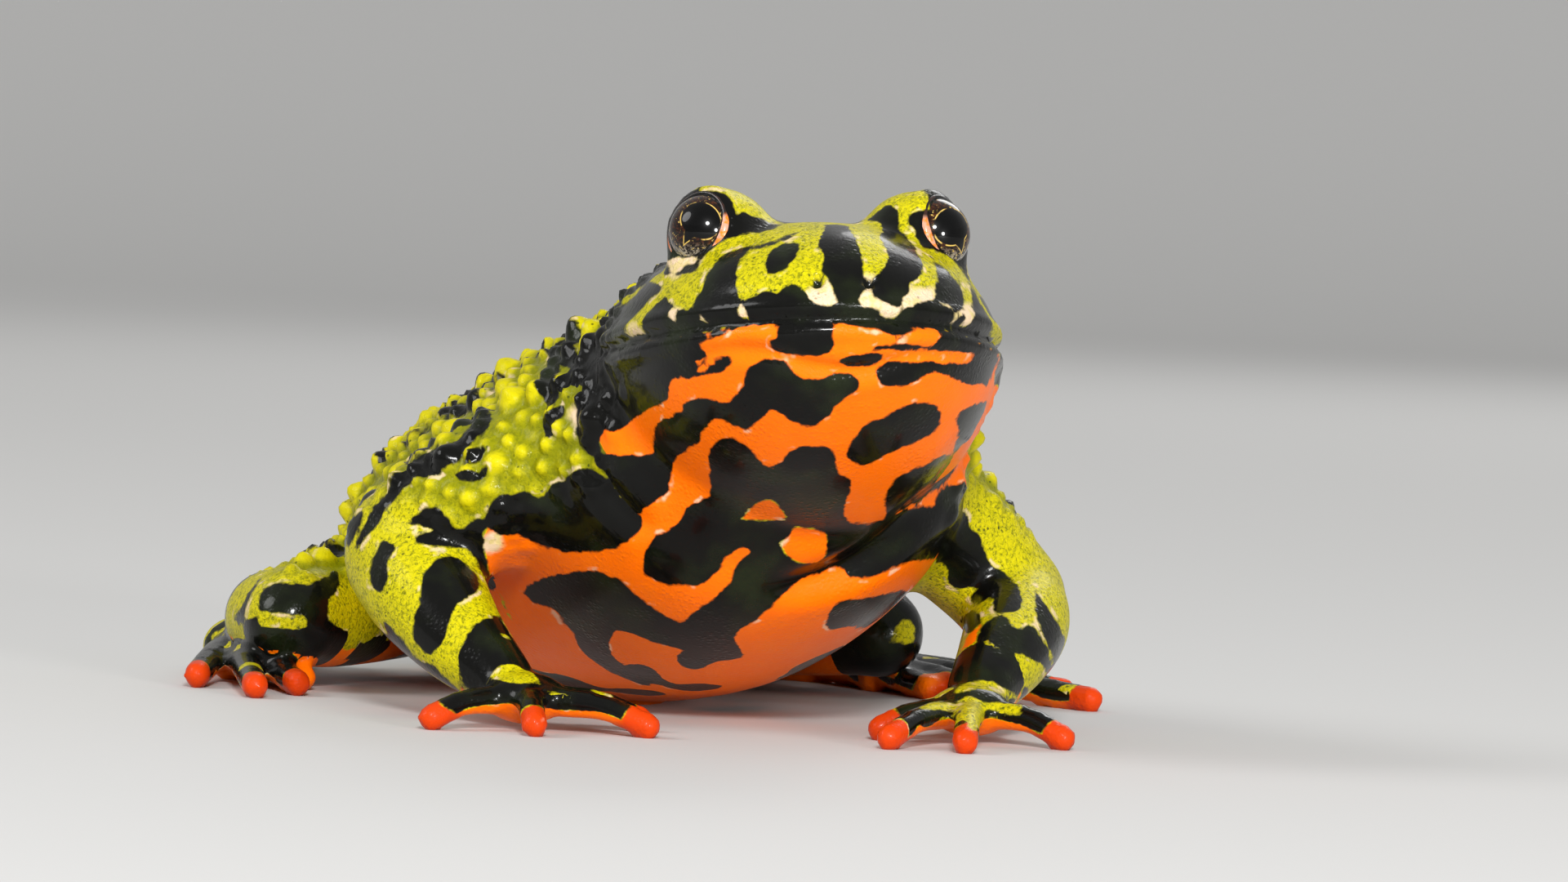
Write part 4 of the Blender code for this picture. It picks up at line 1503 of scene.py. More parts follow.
@dataclass(frozen=True)
class Warts:
    """Rounded warts on back, flanks and limbs, packed side by side."""

    seed: int = 11
    tries: int = 16000
    radii: Span = (0.4, 0.85)
    height: float = 0.95
    roundness: float = 1.7
    crowding: float = 0.72
    least_tall: float = 0.5
    merging: float = 2.0
    least_share: float = 0.2
    smallness: float = 2.2

    def seats(self, points: Array, warty: Array) -> list[tuple[Vector, float]]:
        """Draws where the warts sit.

        Args:
            points: Vertex positions.
            warty: Which part of a wart's full height each vertex lets it have.

        Returns:
            Middle and radius of each wart.
        """
        draw = random.Random(self.seed)
        choices = np.flatnonzero(warty > self.least_share)
        cells: dict[tuple[int, ...], list[tuple[Vector, float]]] = {}
        cell_size = 2 * self.radii[1]
        neighbours = [(x, y, z) for x in (-1, 0, 1) for y in (-1, 0, 1) for z in (-1, 0, 1)]
        for _ in range(self.tries):
            spot = Vector(points[choices[draw.randrange(len(choices))]])
            spread = self.radii[1] - self.radii[0]
            radius = self.radii[0] + spread * draw.random() ** self.smallness
            cell = [int(value // cell_size) for value in spot]
            near = (tuple(c + n for c, n in zip(cell, other)) for other in neighbours)
            taken = (seat for key in near for seat in cells.get(key, ()))
            if all((spot - seat).length > self.crowding * (radius + size) for seat, size in taken):
                cells.setdefault(tuple(cell), []).append((spot, radius))
        return [seat for seats in cells.values() for seat in seats]

    def rise(self, points: Array, warty: Array) -> Array:
        """How high the skin is domed over its warts, in millimetres.

        Args:
            points: Vertex positions.
            warty: Which part of a wart's full height each vertex lets it have.

        Returns:
            One height for each vertex.
        """
        tree = search_tree(points)
        total = np.zeros(len(points))
        seats = self.seats(points, warty)
        draw = random.Random(self.seed + 1)
        for spot, radius in seats:
            tall = self.height * radius * draw.uniform(self.least_tall, 1.0)
            for _, index, away in tree.find_range(spot, radius):
                dome = (1 - (away / radius) ** 2) ** self.roundness * tall
                total[index] += dome**self.merging
        LOG.info("warts raised: %d", len(seats))
        return total ** (1 / self.merging) * warty


@dataclass(frozen=True)
class Skin:
    """The whole skin of the toad, fused from its forms, relaxed and given its relief."""

    head: Head
    trunk: Trunk
    arms: dict[str, Arm]
    legs: dict[str, Leg]
    voxel: float = 0.222
    relax_reach: float = 0.25
    relax_passes: int = 14
    relax_step: float = 0.6
    relax_floor: float = 1.4
    relax_rise: float = 2.4
    relax_least: float = 1.0
    relax_return: float = 2.0
    seat_height: float = 0.13
    head_front: Span = (-0.5, 2.5)
    head_height: Span = (-3.0, 0.0)
    head_loss: float = 0.92
    above_belly: Span = (-0.5, 1.5)
    above_floor: Span = (1.5, 3.0)
    chest_facing: Span = (0.55, 0.85)
    chest_front: Span = (4.0, 7.0)
    chest_width: Span = (6.8, 8.6)
    throat_below: Span = (-0.3, 0.6)
    throat_front: Span = (-3.0, -0.5)
    throat_width: Span = (6.4, 7.6)
    arm_edge: Span = (0.2, 1.0)
    upper_arm_warts: float = 0.95
    forearm_warts: float = 0.35

    def relax(self, mesh: bpy.types.Mesh) -> None:
        """Smooths the joins between the forms, while hands and feet keep their thickness.

        Args:
            mesh: The skin, which is changed.
        """
        points = read_points(mesh)
        first, second = read_edges(mesh)
        count = np.bincount(np.concatenate((first, second)), minlength=len(points))[:, None]
        rise = np.clip((points[:, 2:] - self.relax_floor) / self.relax_rise, 0.0, 1.0)
        passes = round(self.relax_passes * (self.relax_reach / self.voxel) ** 2)
        for turn in range(passes):
            total = np.zeros_like(points)
            for axis in range(3):
                total[:, axis] = np.bincount(first, points[second, axis], len(points))
                total[:, axis] += np.bincount(second, points[first, axis], len(points))
            back = self.relax_least - (turn % 2) * self.relax_return
            points += self.relax_step * (rise + (1 - rise) * back) * (total / count - points)
        write_points(mesh, points)

    def warty(self, points: Array, normals: Array) -> Array:
        """Where the skin is warty: back, flanks and upper limbs, and less on head and hands.

        Args:
            points: Vertex positions.
            normals: Vertex normals.

        Returns:
            One share for each vertex.
        """
        local = self.head.local(points)
        on_head = rising(-local[:, 1], *self.head_front) * rising(local[:, 2], *self.head_height)
        share = (1 - self.head_loss * on_head) * rising(-self.trunk.belly(points), *self.above_belly)
        share *= rising(points[:, 2], *self.above_floor)
        front = rising(-normals[:, 1], *self.chest_facing) * rising(-points[:, 1], *self.chest_front)
        front *= 1 - rising(np.abs(points[:, 0]), *self.chest_width)
        throat = rising(-local[:, 2], *self.throat_below) * rising(-local[:, 1], *self.throat_front)
        share *= 1 - throat * (1 - rising(np.abs(local[:, 0]), *self.throat_width))
        for arm in self.arms.values():
            for stations, left in ((arm.upper, self.upper_arm_warts), (arm.fore, self.forearm_warts)):
                outside, _ = limb_place(points, stations)
                share *= left + (1 - left) * rising(outside, *self.arm_edge)
        return share * (1 - front)

    def build(self, markings: Markings) -> bpy.types.Object:
        """Makes the skin.

        Args:
            markings: The colours that it wears.

        Returns:
            The skin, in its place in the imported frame.
        """
        clay = Clay()
        for part in (self.head, self.trunk, *self.arms.values(), *self.legs.values()):
            part.add(clay)
        skin = clay.fused("toad_skin", self.voxel)
        mesh = skin.data
        self.relax(mesh)
        markings.write(mesh)
        points, normals = read_points(mesh), read_normals(mesh)
        warty = self.warty(points, normals)
        warts = Warts().rise(points, warty)
        push = self.head.relief(points, normals) + markings.creases(mesh) + warts
        points += normals * push[:, None]
        points[points[:, 2] < self.seat_height, 2] = 0
        write_points(mesh, points + np.array(ORIGIN_SHIFT))
        write_attribute(mesh, "warty", warty)
        write_attribute(mesh, "wart", warts)
        mesh.shade_smooth()
        LOG.info("skin: %d vertices", len(mesh.vertices))
        return skin


@dataclass(frozen=True)
class Eye:
    """One eyeball and the rim of its lids."""

    name: str
    side: int
    head: Head
    look_azimuth: float
    look_rise: float
    tip_angle: float
    radius: float = 1.38
    segments: int = 96
    rings: int = 64
    rim_radius: float = 1.33
    rim_offset: float = 0.5
    rim_thin: float = 0.1
    rim_thick: float = 0.24
    rim_sides: int = 20
    rim_steps: int = 96
    weld_distance: float = 1e-4
    crescent_low: float = 0.62
    crescent_fore: float = 0.78
    crescent_edge: Span = (0.25, 0.95)

    def place(self) -> Matrix:
        """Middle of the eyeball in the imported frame, with no turn."""
        centre = self.head.matrix() @ self.head.eye_centre(self.side)
        return Matrix.Translation(centre + ORIGIN_SHIFT)

    def look(self) -> Vector:
        """Direction in which the pupil looks, in the toad's frame."""
        return heading(self.look_azimuth, self.look_rise)

    def plane(self, direction: Vector) -> tuple[Vector, Vector]:
        """Two directions square to the one given: across to the viewer's right, and up."""
        across = UP.cross(direction).normalized()
        return across, direction.cross(across)

    def ball(self) -> bpy.types.Object:
        """Makes the eyeball, whose attributes tell where the pupil is.

        Returns:
            The eyeball.
        """
        bm = bmesh.new()
        sizes = {"u_segments": self.segments, "v_segments": self.rings, "radius": self.radius}
        bmesh.ops.create_uvsphere(bm, matrix=self.place(), **sizes)
        obj = new_object("eyeball_" + self.name, bm)
        mesh = obj.data
        mesh.shade_smooth()
        away = read_points(mesh) - np.array(self.place().translation)
        look = self.look()
        across, up = self.plane(look)
        tip = math.radians(self.tip_angle)
        along = np.array(across) * math.cos(tip) + np.array(up) * math.sin(tip)
        aside = np.array(up) * math.cos(tip) - np.array(across) * math.sin(tip)
        write_attribute(mesh, "along", away @ along)
        write_attribute(mesh, "aside", away @ aside)
        write_attribute(mesh, "front", away @ np.array(look))
        write_attribute(mesh, "height", away[:, 2])
        return obj

    def rim(self) -> bpy.types.Object:
        """Makes the rim of the lids, a ring that lies on the eyeball.

        Returns:
            The rim.
        """
        turn = self.head.matrix().to_3x3()
        look = (turn @ self.head.gaze(self.side)).normalized()
        across, up = self.plane(look)
        centre = self.place().translation + look * self.rim_offset
        bm = bmesh.new()
        bmesh.ops.create_circle(bm, radius=1.0, segments=self.rim_sides)
        for vert in bm.verts:
            tube = self.rim_thin * (across * vert.co.x + look * vert.co.y)
            vert.co = centre + across * self.rim_radius + tube
        bmesh.ops.spin(
            bm,
            geom=[*bm.verts, *bm.edges],
            cent=centre,
            axis=look,
            angle=2 * math.pi,
            steps=self.rim_steps,
            use_merge=True,
        )
        bmesh.ops.remove_doubles(bm, verts=bm.verts, dist=self.weld_distance)
        bmesh.ops.recalc_face_normals(bm, faces=bm.faces)
        obj = new_object("lid_rim_" + self.name, bm)
        mesh = obj.data
        mesh.shade_smooth()
        away = read_points(mesh) - np.array(centre)
        sideways, height = away @ np.array(across), away @ np.array(up)
        spread = np.hypot(sideways, height)
        low, fore = -height / spread, -sideways * self.side / spread
        slant = self.crescent_low * low + self.crescent_fore * fore
        crescent = rising(slant, *self.crescent_edge)
        ring = np.outer(sideways, across) + np.outer(height, up)
        ring *= (self.rim_radius / spread)[:, None]
        swelling = 1 + (self.rim_thick / self.rim_thin - 1) * crescent
        write_points(mesh, np.array(centre) + ring + (away - ring) * swelling[:, None])
        write_attribute(mesh, "out", (spread - self.rim_radius) / self.rim_thin)
        write_attribute(mesh, "crescent", crescent)
        write_attribute(mesh, "low", low)
        write_attribute(mesh, "fore", fore)
        return obj


def arithmetic(operation: str, swapped: bool = False) -> Callable[..., "Value"]:
    """Makes an operator of values that adds one Math node.

    Args:
        operation: What the node does.
        swapped: Whether the other side comes first, as in a reflected operator.

    Returns:
        The operator.
    """

    def method(self: "Value", other: "Value | float" = 0.0) -> "Value":
        """The result of the node."""
        sides = (other, self) if swapped else (self, other)
        node = self.sheet.add("Math", {"operation": operation}, dict(enumerate(sides)))
        return Value(self.sheet, node.outputs[0])

    return method


class Value:
    """A shader socket that adds Math nodes when it is used in arithmetic."""

    def __init__(self, sheet: "Sheet", socket: bpy.types.NodeSocket) -> None:
        """Wraps an output socket of a sheet's node."""
        self.sheet = sheet
        self.socket = socket

    __add__ = __radd__ = arithmetic("ADD")
    __sub__ = arithmetic("SUBTRACT")
    __rsub__ = arithmetic("SUBTRACT", swapped=True)
    __mul__ = __rmul__ = arithmetic("MULTIPLY")
    __truediv__ = arithmetic("DIVIDE")
    __rtruediv__ = arithmetic("DIVIDE", swapped=True)
    __pow__ = arithmetic("POWER")
    largest = arithmetic("MAXIMUM")
    size = arithmetic("ABSOLUTE")

    def step(self, low: float, high: float) -> "Value":
        """A smooth rise from 0 at one value to 1 at the other.

        Args:
            low: Where it starts.
            high: Where it ends.

        Returns:
            The new value.
        """
        settings = {"interpolation_type": "SMOOTHSTEP"}
        ends = {"Value": self, "From Min": low, "From Max": high}
        return Value(self.sheet, self.sheet.add("MapRange", settings, ends).outputs["Result"])


@dataclass(frozen=True)
class Noise:
    """How a noise looks, and between which of its values its patches fade in.

    Its size is about how far apart its rises are, in millimetres. Detail is the count of its finer
    layers, roughness how strong they are, and distortion how much the whole is twisted.
    """

    size: float
    detail: float = 2.0
    roughness: float = 0.5
    distortion: float = 0.0
    fade: Span = (0.0, 1.0)


@dataclass(frozen=True)
class Dots:
    """Scattered dots: the size of the cell that holds one, in millimetres, and where it fades."""

    size: float
    fade: Span


class Sheet:
    """The nodes of one material."""

    def __init__(self, name: str) -> None:
        """Starts a material with its own Principled shader.

        Args:
            name: The material's name.
        """
        self.material = bpy.data.materials.new(name)
        self.material.use_nodes = True
        self.tree = self.material.node_tree
        self.shader = self.tree.nodes["Principled BSDF"]

    def add(
        self,
        kind: str,
        settings: dict[str, object] | None = None,
        inputs: dict[str | int, object] | None = None,
    ) -> bpy.types.Node:
        """Adds a node.

        Args:
            kind: The node's type, without its prefix.
            settings: The node's own settings, set first.
            inputs: Numbers, colours or values for its sockets.

        Returns:
            The node.
        """
        node = self.tree.nodes.new("ShaderNode" + kind)
        for name, setting in (settings or {}).items():
            setattr(node, name, setting)
        for key, source in (inputs or {}).items():
            self.feed(node.inputs[key], source)
        return node

    def feed(self, socket: bpy.types.NodeSocket, source: object) -> None:
        """Links a value to a socket, or sets a number or colour on it.

        Args:
            socket: The socket.
            source: What it gets.
        """
        if isinstance(source, Value):
            self.tree.links.new(source.socket, socket)
        elif isinstance(source, tuple) and socket.type == "RGBA":
            socket.default_value = (*source, 1.0)
        else:
            socket.default_value = source

    def attribute(self, name: str) -> Value:
        """A number that the mesh keeps for each vertex."""
        node = self.add("Attribute", {"attribute_name": name})
        return Value(self, node.outputs["Fac"])

    def place(self) -> Value:
        """Place on the piece, in metres."""
        return Value(self, self.add("TexCoord").outputs["Object"])

    def height(self) -> Value:
        """Height above the floor, in millimetres."""
        node = self.add("SeparateXYZ", None, {0: self.place()})
        return Value(self, node.outputs["Z"]) / MM

    def noise(self, noise: Noise) -> Value:
        """A noise, whose values lie around the middle.

        Args:
            noise: How it looks.

        Returns:
            The noise.
        """
        inputs = {
            "Vector": self.place(),
            "Scale": 1 / (noise.size * MM),
            "Detail": noise.detail,
            "Roughness": noise.roughness,
            "Distortion": noise.distortion,
        }
        return Value(self, self.add("TexNoise", None, inputs).outputs["Fac"])

    def patches(self, noise: Noise) -> Value:
        """1 in the high places of a noise and 0 in the low ones."""
        return self.noise(noise).step(*noise.fade)

    def dots(self, dots: Dots) -> Value:
        """1 at the middles of scattered dots and 0 between them.

        Args:
            dots: How they look.

        Returns:
            The dots.
        """
        inputs = {"Vector": self.place(), "Scale": 1 / (dots.size * MM)}
        node = self.add("TexVoronoi", None, inputs)
        return 1 - Value(self, node.outputs["Distance"]).step(*dots.fade)

    def mix(self, share: Value, first: "Colour | Value", second: "Colour | Value") -> Value:
        """A colour that goes from the first to the second.

        Args:
            share: How much of the second shows.
            first: One colour.
            second: The other.

        Returns:
            The mixed colour.
        """
        inputs = {MIX_SHARE: share, MIX_FIRST: first, MIX_SECOND: second}
        node = self.add("Mix", {"data_type": "RGBA"}, inputs)
        return Value(self, node.outputs[MIX_RESULT])

    def bumped(self, height: Value) -> Value:
        """A normal from a height in millimetres."""
        node = self.add("Bump", None, {"Height": height, "Distance": MM, "Strength": 1.0})
        return Value(self, node.outputs["Normal"])

    def finish(self, **sockets: object) -> bpy.types.Material:
        """Feeds the shader's sockets.

        Args:
            sockets: What each gets, with underscores for spaces in their names.

        Returns:
            The finished material.
        """
        for name, source in sockets.items():
            self.feed(self.shader.inputs[name.replace("_", " ")], source)
        return self.material


@dataclass(frozen=True)
class SkinFinish:
    """Wet skin: lime green with painted light and shade on its relief, near black with a painted olive
    sheen, and orange, with pale flecks along the edges.
    """

    lime: Colour = (0.58, 0.51, 0.002)
    # Dark green of the skin, also painted into the valleys between warts and wrinkles as shade.
    moss_and_shade: Colour = (0.12, 0.14, 0.002)
    # Dark colour of the painted shade in the wrinkle lines, also used for the pores.
    shade: Colour = (0.045, 0.06, 0.004)
    black: Colour = (0.003, 0.003, 0.0025)
    # Painted sheen: olive patches over the black stand in for its reflection.
    olive_sheen: Colour = (0.012, 0.017, 0.005)
    orange: Colour = (0.98, 0.16, 0.001)
    amber: Colour = (1.0, 0.2, 0.002)
    red: Colour = (0.6, 0.045, 0.003)
    cream: Colour = (0.8, 0.6, 0.4)
    brown: Colour = (0.12, 0.05, 0.02)
    edge: float = 0.05
    ragged: float = 0.14
    ragged_noise: Noise = Noise(0.5, 3.0)
    pale_ragged: float = 1.5
    pale_shift: float = 0.1
    pale_softness: float = 3.0
    granules: Dots = Dots(0.62, (0.05, 0.6))
    # Painted light: the granules are painted lighter.
    granule_painted_light: float = 0.12
    granule_height: float = 0.05
    wrinkles: Noise = Noise(0.14, 3.0, 0.6, 0.8)
    wrinkle_fade: Span = (0.36, 0.6)
    # Painted light: the wrinkle ridges are painted lighter.
    wrinkle_painted_light: float = 0.36
    wrinkle_height: float = 0.07
    wrinkle_least: float = 0.01
    line_fade: Span = (0.3, 0.45)
    line_shade_share: float = 0.5
    pores: Dots = Dots(0.34, (0.1, 0.24))
    pore_patches: Noise = Noise(1.7, fade=(0.46, 0.58))
    pore_share: float = 0.85
    pale_pore_share: float = 0.6
    wart_cover: float = 0.85
    # How light the green is painted: lighter on wart domes and darker in their valleys, as painted
    # light and shade.
    plain_light: float = 0.42
    dome_fade: Span = (0.04, 0.5)
    dome_painted_light: float = 0.74
    shaded_valley_light: float = 0.2
    lime_fade: Span = (0.1, 0.85)
    throat_height: Span = (10.0, 17.0)
    throat_amber: float = 0.35
    amber_patches: Noise = Noise(0.9, 3.0, fade=(0.35, 0.75))
    amber_share: float = 0.3
    olive_sheen_patches: Noise = Noise(2.6, 3.0, fade=(0.45, 0.75))
    pale_patches: Noise = Noise(0.5, 2.0, fade=(0.48, 0.62))
    pale_lime_share: float = 0.4
    fringe_place: float = 0.07
    fringe_fade: Span = (0.02, 0.12)
    flecks: Noise = Noise(0.9, 2.0, fade=(0.55, 0.66))
    fleck_loss: float = 0.05
    fleck_share: float = 0.7
    beads: Dots = Dots(0.2, (0.1, 0.6))
    bead_patches: Noise = Noise(1.3, 2.0, fade=(0.35, 0.65))
    bead_height: float = 0.014
    dark_relief_loss: float = 0.88
    orange_relief_loss: float = 0.7
    grain: Noise = Noise(0.28, 4.0, 0.6)
    grain_roughness: float = 0.16
    roughness: float = 0.34
    dark_gloss: float = 0.12
    film: float = 0.08
    dark_film: float = 0.22

    def green(self, sheet: Sheet, granules: Value, wrinkles: Value, pores: Value) -> Value:
        """The green: lime with painted light on the domes of the warts, moss with painted shade in
        their valleys, and fine dark lines of painted shade.

        Args:
            sheet: The material's sheet.
            granules: 1 on the granules.
            wrinkles: The noise of the wrinkles.
            pores: 1 in the pores.

        Returns:
            The colour.
        """
        warty = sheet.attribute("warty")
        smooth = 1 - warty * self.wart_cover
        domed = sheet.attribute("wart").step(*self.dome_fade)
        # Painted light and shade that follow the relief: wrinkle ridges, wart domes and granules
        # lighter, the valleys between warts darker.
        plain = self.plain_light + wrinkles.step(*self.wrinkle_fade) * self.wrinkle_painted_light
        painted_lightness = smooth * plain + (domed * self.dome_painted_light + self.shaded_valley_light) * warty
        painted_lightness = painted_lightness + granules * self.granule_painted_light
        green = sheet.mix(painted_lightness.step(*self.lime_fade), self.moss_and_shade, self.lime)
        # Painted shade: fine dark lines along the valleys of the wrinkles.
        wrinkle_shade_lines = 1 - wrinkles.step(*self.line_fade)
        green = sheet.mix(wrinkle_shade_lines * smooth * self.line_shade_share, green, self.shade)
        return sheet.mix(pores * self.pore_share, green, self.shade)

    def warm(self, sheet: Sheet) -> Value:
        """The orange: more amber towards the throat, and red at the free tips of the digits.

        Args:
            sheet: The material's sheet.

        Returns:
            The colour.
        """
        throat = sheet.height().step(*self.throat_height) * self.throat_amber
        amber = throat + sheet.patches(self.amber_patches) * self.amber_share
        warm = sheet.mix(amber, self.orange, self.amber)
        return sheet.mix(sheet.attribute("tip"), warm, self.red)

    def cream_patches(self, sheet: Sheet, pores: Value) -> Value:
        """The pale tips of the markings, cream with some lime and brown pores.

        Args:
            sheet: The material's sheet.
            pores: 1 in the pores.

        Returns:
            The colour.
        """
        lime = sheet.patches(self.pale_patches) * self.pale_lime_share
        pale = sheet.mix(lime, self.cream, self.lime)
        return sheet.mix(pores * self.pale_pore_share, pale, self.brown)

    def relief(self, sheet: Sheet, granules: Value, wrinkles: Value, bare: Value) -> Value:
        """The fine relief, in millimetres.

        Args:
            sheet: The material's sheet.
            granules: 1 on the granules.
            wrinkles: The noise of the wrinkles.
            bare: How much of the relief the colour leaves.

        Returns:
            The height.
        """
        warty = sheet.attribute("warty")
        smooth = 1 - warty * self.wart_cover
        wrinkled = (wrinkles - NOISE_MIDDLE) * (smooth * self.wrinkle_height + self.wrinkle_least)
        relief = granules * warty * self.granule_height + wrinkled
        beads = sheet.dots(self.beads) * sheet.patches(self.bead_patches)
        return relief * bare + beads * self.bead_height

    def material(self) -> bpy.types.Material:
        """Makes the material.

        Returns:
            The finished material.
        """
        sheet = Sheet("wet_skin")
        ragged = (sheet.noise(self.ragged_noise) - NOISE_MIDDLE) * self.ragged * 2
        dark_depth = sheet.attribute("dark") + ragged
        dark = dark_depth.step(-self.edge, self.edge)
        orange = (sheet.attribute("orange") + ragged).step(-self.edge, self.edge)
        pale_edge = self.edge * self.pale_softness
        pale = sheet.attribute("pale") + ragged * self.pale_ragged + self.pale_shift
        granules, wrinkles = sheet.dots(self.granules), sheet.noise(self.wrinkles)
        pores = sheet.dots(self.pores) * sheet.patches(self.pore_patches)

        colour = sheet.mix(orange, self.green(sheet, granules, wrinkles, pores), self.warm(sheet))
        colour = sheet.mix(pale.step(-pale_edge, pale_edge), colour, self.cream_patches(sheet, pores))
        fringe = 1 - (dark_depth + self.fringe_place).size().step(*self.fringe_fade)
        fleck = (sheet.noise(self.flecks) - orange * self.fleck_loss).step(*self.flecks.fade)
        colour = sheet.mix(fringe * fleck * self.fleck_share, colour, self.cream)
        # Painted sheen: olive patches in the black.
        black_with_sheen = sheet.mix(sheet.patches(self.olive_sheen_patches), self.black, self.olive_sheen)

        bare = (1 - dark * self.dark_relief_loss) * (1 - orange * self.orange_relief_loss)
        grain = (sheet.noise(self.grain) - NOISE_MIDDLE) * self.grain_roughness
        return sheet.finish(
            Base_Color=sheet.mix(dark, colour, black_with_sheen),
            Roughness=self.roughness - dark * self.dark_gloss + grain,
            Normal=sheet.bumped(self.relief(sheet, granules, wrinkles, bare)),
            Coat_Weight=self.film + dark * self.dark_film,
            Coat_Roughness=0.09,
            Coat_IOR=1.4,
            Specular_IOR_Level=0.08,
        )


@dataclass(frozen=True)
class EyeFinish:
    """A dark brown iris with golden flecks, around a black pupil with a broken golden line."""

    umber: Colour = (0.006, 0.003, 0.002)
    rust: Colour = (0.08, 0.02, 0.005)
    gold: Colour = (0.62, 0.42, 0.1)
    ash: Colour = (0.42, 0.37, 0.28)
    black: Colour = (0.0005, 0.0005, 0.0005)
    pupil_length: float = 0.66
    pupil_width: float = 0.78
    pupil_edge: float = 0.012
    point: float = 1.02
    point_from: float = 0.1
    taper: float = 0.6
    line_place: float = 0.03
    line_fade: Span = (0.008, 0.03)
    line_patches: Noise = Noise(0.45, 2.0, fade=(0.44, 0.54))
    streaks: Noise = Noise(0.16, 4.0, 0.7, 0.8, fade=(0.46, 0.7))
    ash_streaks: Span = (0.45, 0.58)
    ash_below: Span = (0.35, 0.95)
    flecks: Noise = Noise(0.13, 3.0, fade=(0.62, 0.68))
    fleck_share: float = 0.8
    roughness: float = 0.3
    line_roughness: float = 0.1

    def outside(self, sheet: Sheet) -> Value:
        """How far a place lies outside the pupil, an oval with a point, in millimetres.

        Args:
            sheet: The material's sheet.

        Returns:
            The distance, negative inside.
        """
        along, aside = sheet.attribute("along"), sheet.attribute("aside")
        length, width = along / self.pupil_length, aside / self.pupil_width
        oval = ((length * length + width * width) ** 0.5 - 1) * self.pupil_length
        wedge = aside.size() - (self.point - along) * self.taper
        wedge = wedge.largest(self.point_from - along)
        nearer = (oval + wedge - (oval - wedge).size()) * 0.5
        return nearer.largest(sheet.attribute("front") * -1.0)

    def iris(self, sheet: Sheet) -> Value:
        """The brown iris with its streaks, ashen below, and golden flecks.

        Args:
            sheet: The material's sheet.

        Returns:
            The colour.
        """
        streaks = sheet.noise(self.streaks)
        iris = sheet.mix(streaks.step(*self.streaks.fade), self.umber, self.rust)
        low = (sheet.attribute("height") * -1.0).step(*self.ash_below)
        iris = sheet.mix(low * streaks.step(*self.ash_streaks), iris, self.ash)
        return sheet.mix(sheet.patches(self.flecks) * self.fleck_share, iris, self.gold)

    def material(self) -> bpy.types.Material:
        """Makes the material.

        Returns:
            The finished material.
        """
        sheet = Sheet("wet_eye")
        outside = self.outside(sheet)
        pupil = 1 - outside.step(-self.pupil_edge, self.pupil_edge)
        line = 1 - (outside - self.line_place).size().step(*self.line_fade)
        line = line * sheet.patches(self.line_patches)
        colour = sheet.mix(line, self.iris(sheet), self.gold)
        return sheet.finish(
            Base_Color=sheet.mix(pupil, colour, self.black),
            Roughness=self.roughness + line * self.line_roughness,
            Coat_Weight=1.0,
            Coat_Roughness=0.03,
            Coat_IOR=1.3,
            Specular_IOR_Level=0.05,
        )


@dataclass(frozen=True)
class RimFinish:
    """The rim of the lids: a cream line inside, then black, and orange at the lower front."""

    black: Colour = (0.006, 0.004, 0.003)
    maroon: Colour = (0.03, 0.01, 0.006)
    orange: Colour = (0.95, 0.2, 0.01)
    pink: Colour = (0.6, 0.3, 0.2)
    cream: Colour = (0.7, 0.45, 0.22)
    mottle: Noise = Noise(0.25, 3.0, 0.6)
    mottle_height: float = 0.03
    maroon_fade: Span = (0.45, 0.65)
    pink_fade: Span = (0.42, 0.6)
    pink_below: Span = (0.75, 1.0)
    ragged: float = 0.5
    flesh_edge: Span = (-0.1, 0.12)
    flesh_crescent: Span = (0.12, 0.45)
    flesh_below: Span = (0.2, 0.7)
    below_share: float = 0.7
    line_place: float = 0.68
    line_ragged: float = 0.3
    line_fade: Span = (0.1, 0.24)
    line_gaps: Span = (0.3, 0.45)
    line_low: float = 0.4
    line_fore: Span = (-0.3, 0.3)

    def material(self) -> bpy.types.Material:
        """Makes the material.

        Returns:
            The finished material.
        """
        sheet = Sheet("wet_lid_rim")
        out, crescent = sheet.attribute("out"), sheet.attribute("crescent")
        low, fore = sheet.attribute("low"), sheet.attribute("fore")
        mottle = sheet.noise(self.mottle)
        ragged = (mottle - NOISE_MIDDLE) * self.ragged
        ground = sheet.mix(mottle.step(*self.maroon_fade), self.black, self.maroon)
        flesh = sheet.mix(mottle.step(*self.pink_fade), self.orange, self.pink)
        flesh = sheet.mix(low.step(*self.pink_below), flesh, self.pink)
        below = low.step(*self.flesh_below) * (1 - crescent) * self.below_share
        shown = (out + ragged).step(*self.flesh_edge) * (crescent.step(*self.flesh_crescent) + below)
        colour = sheet.mix(shown, ground, flesh)
        line = (out + self.line_place + ragged * self.line_ragged).size().step(*self.line_fade)
        reach = (fore + low * self.line_low).step(*self.line_fore)
        line = (1 - line) * reach * mottle.step(*self.line_gaps)
        return sheet.finish(
            Base_Color=sheet.mix(line, colour, self.cream),
            Roughness=0.3,
            Normal=sheet.bumped(mottle * self.mottle_height),
            Coat_Weight=0.3,
            Coat_Roughness=0.1,
            Specular_IOR_Level=0.3,
        )


@dataclass(frozen=True)
class FloorFinish:
    """A plain pale matt floor, painted lighter away from the middle: painted light that makes up for
    the lamps' light falling off with distance.
    """

    near: Colour = (0.58, 0.576, 0.565)
    far: Colour = (0.86, 0.855, 0.84)
    near_reach: float = 250.0
    far_reach: float = 1300.0

    def material(self) -> bpy.types.Material:
        """Makes the material.

        Returns:
            The finished material.
        """
        sheet = Sheet("pale_floor")
        length = sheet.add("VectorMath", {"operation": "LENGTH"}, {0: sheet.place()})
        away = Value(sheet, length.outputs["Value"]).step(self.near_reach * MM, self.far_reach * MM)
        # Painted light: lighter towards the far floor and sweep, where less lamp light falls.
        colour = sheet.mix(away, self.near, self.far)
        return sheet.finish(Base_Color=colour, Roughness=0.75, Specular_IOR_Level=0.2)


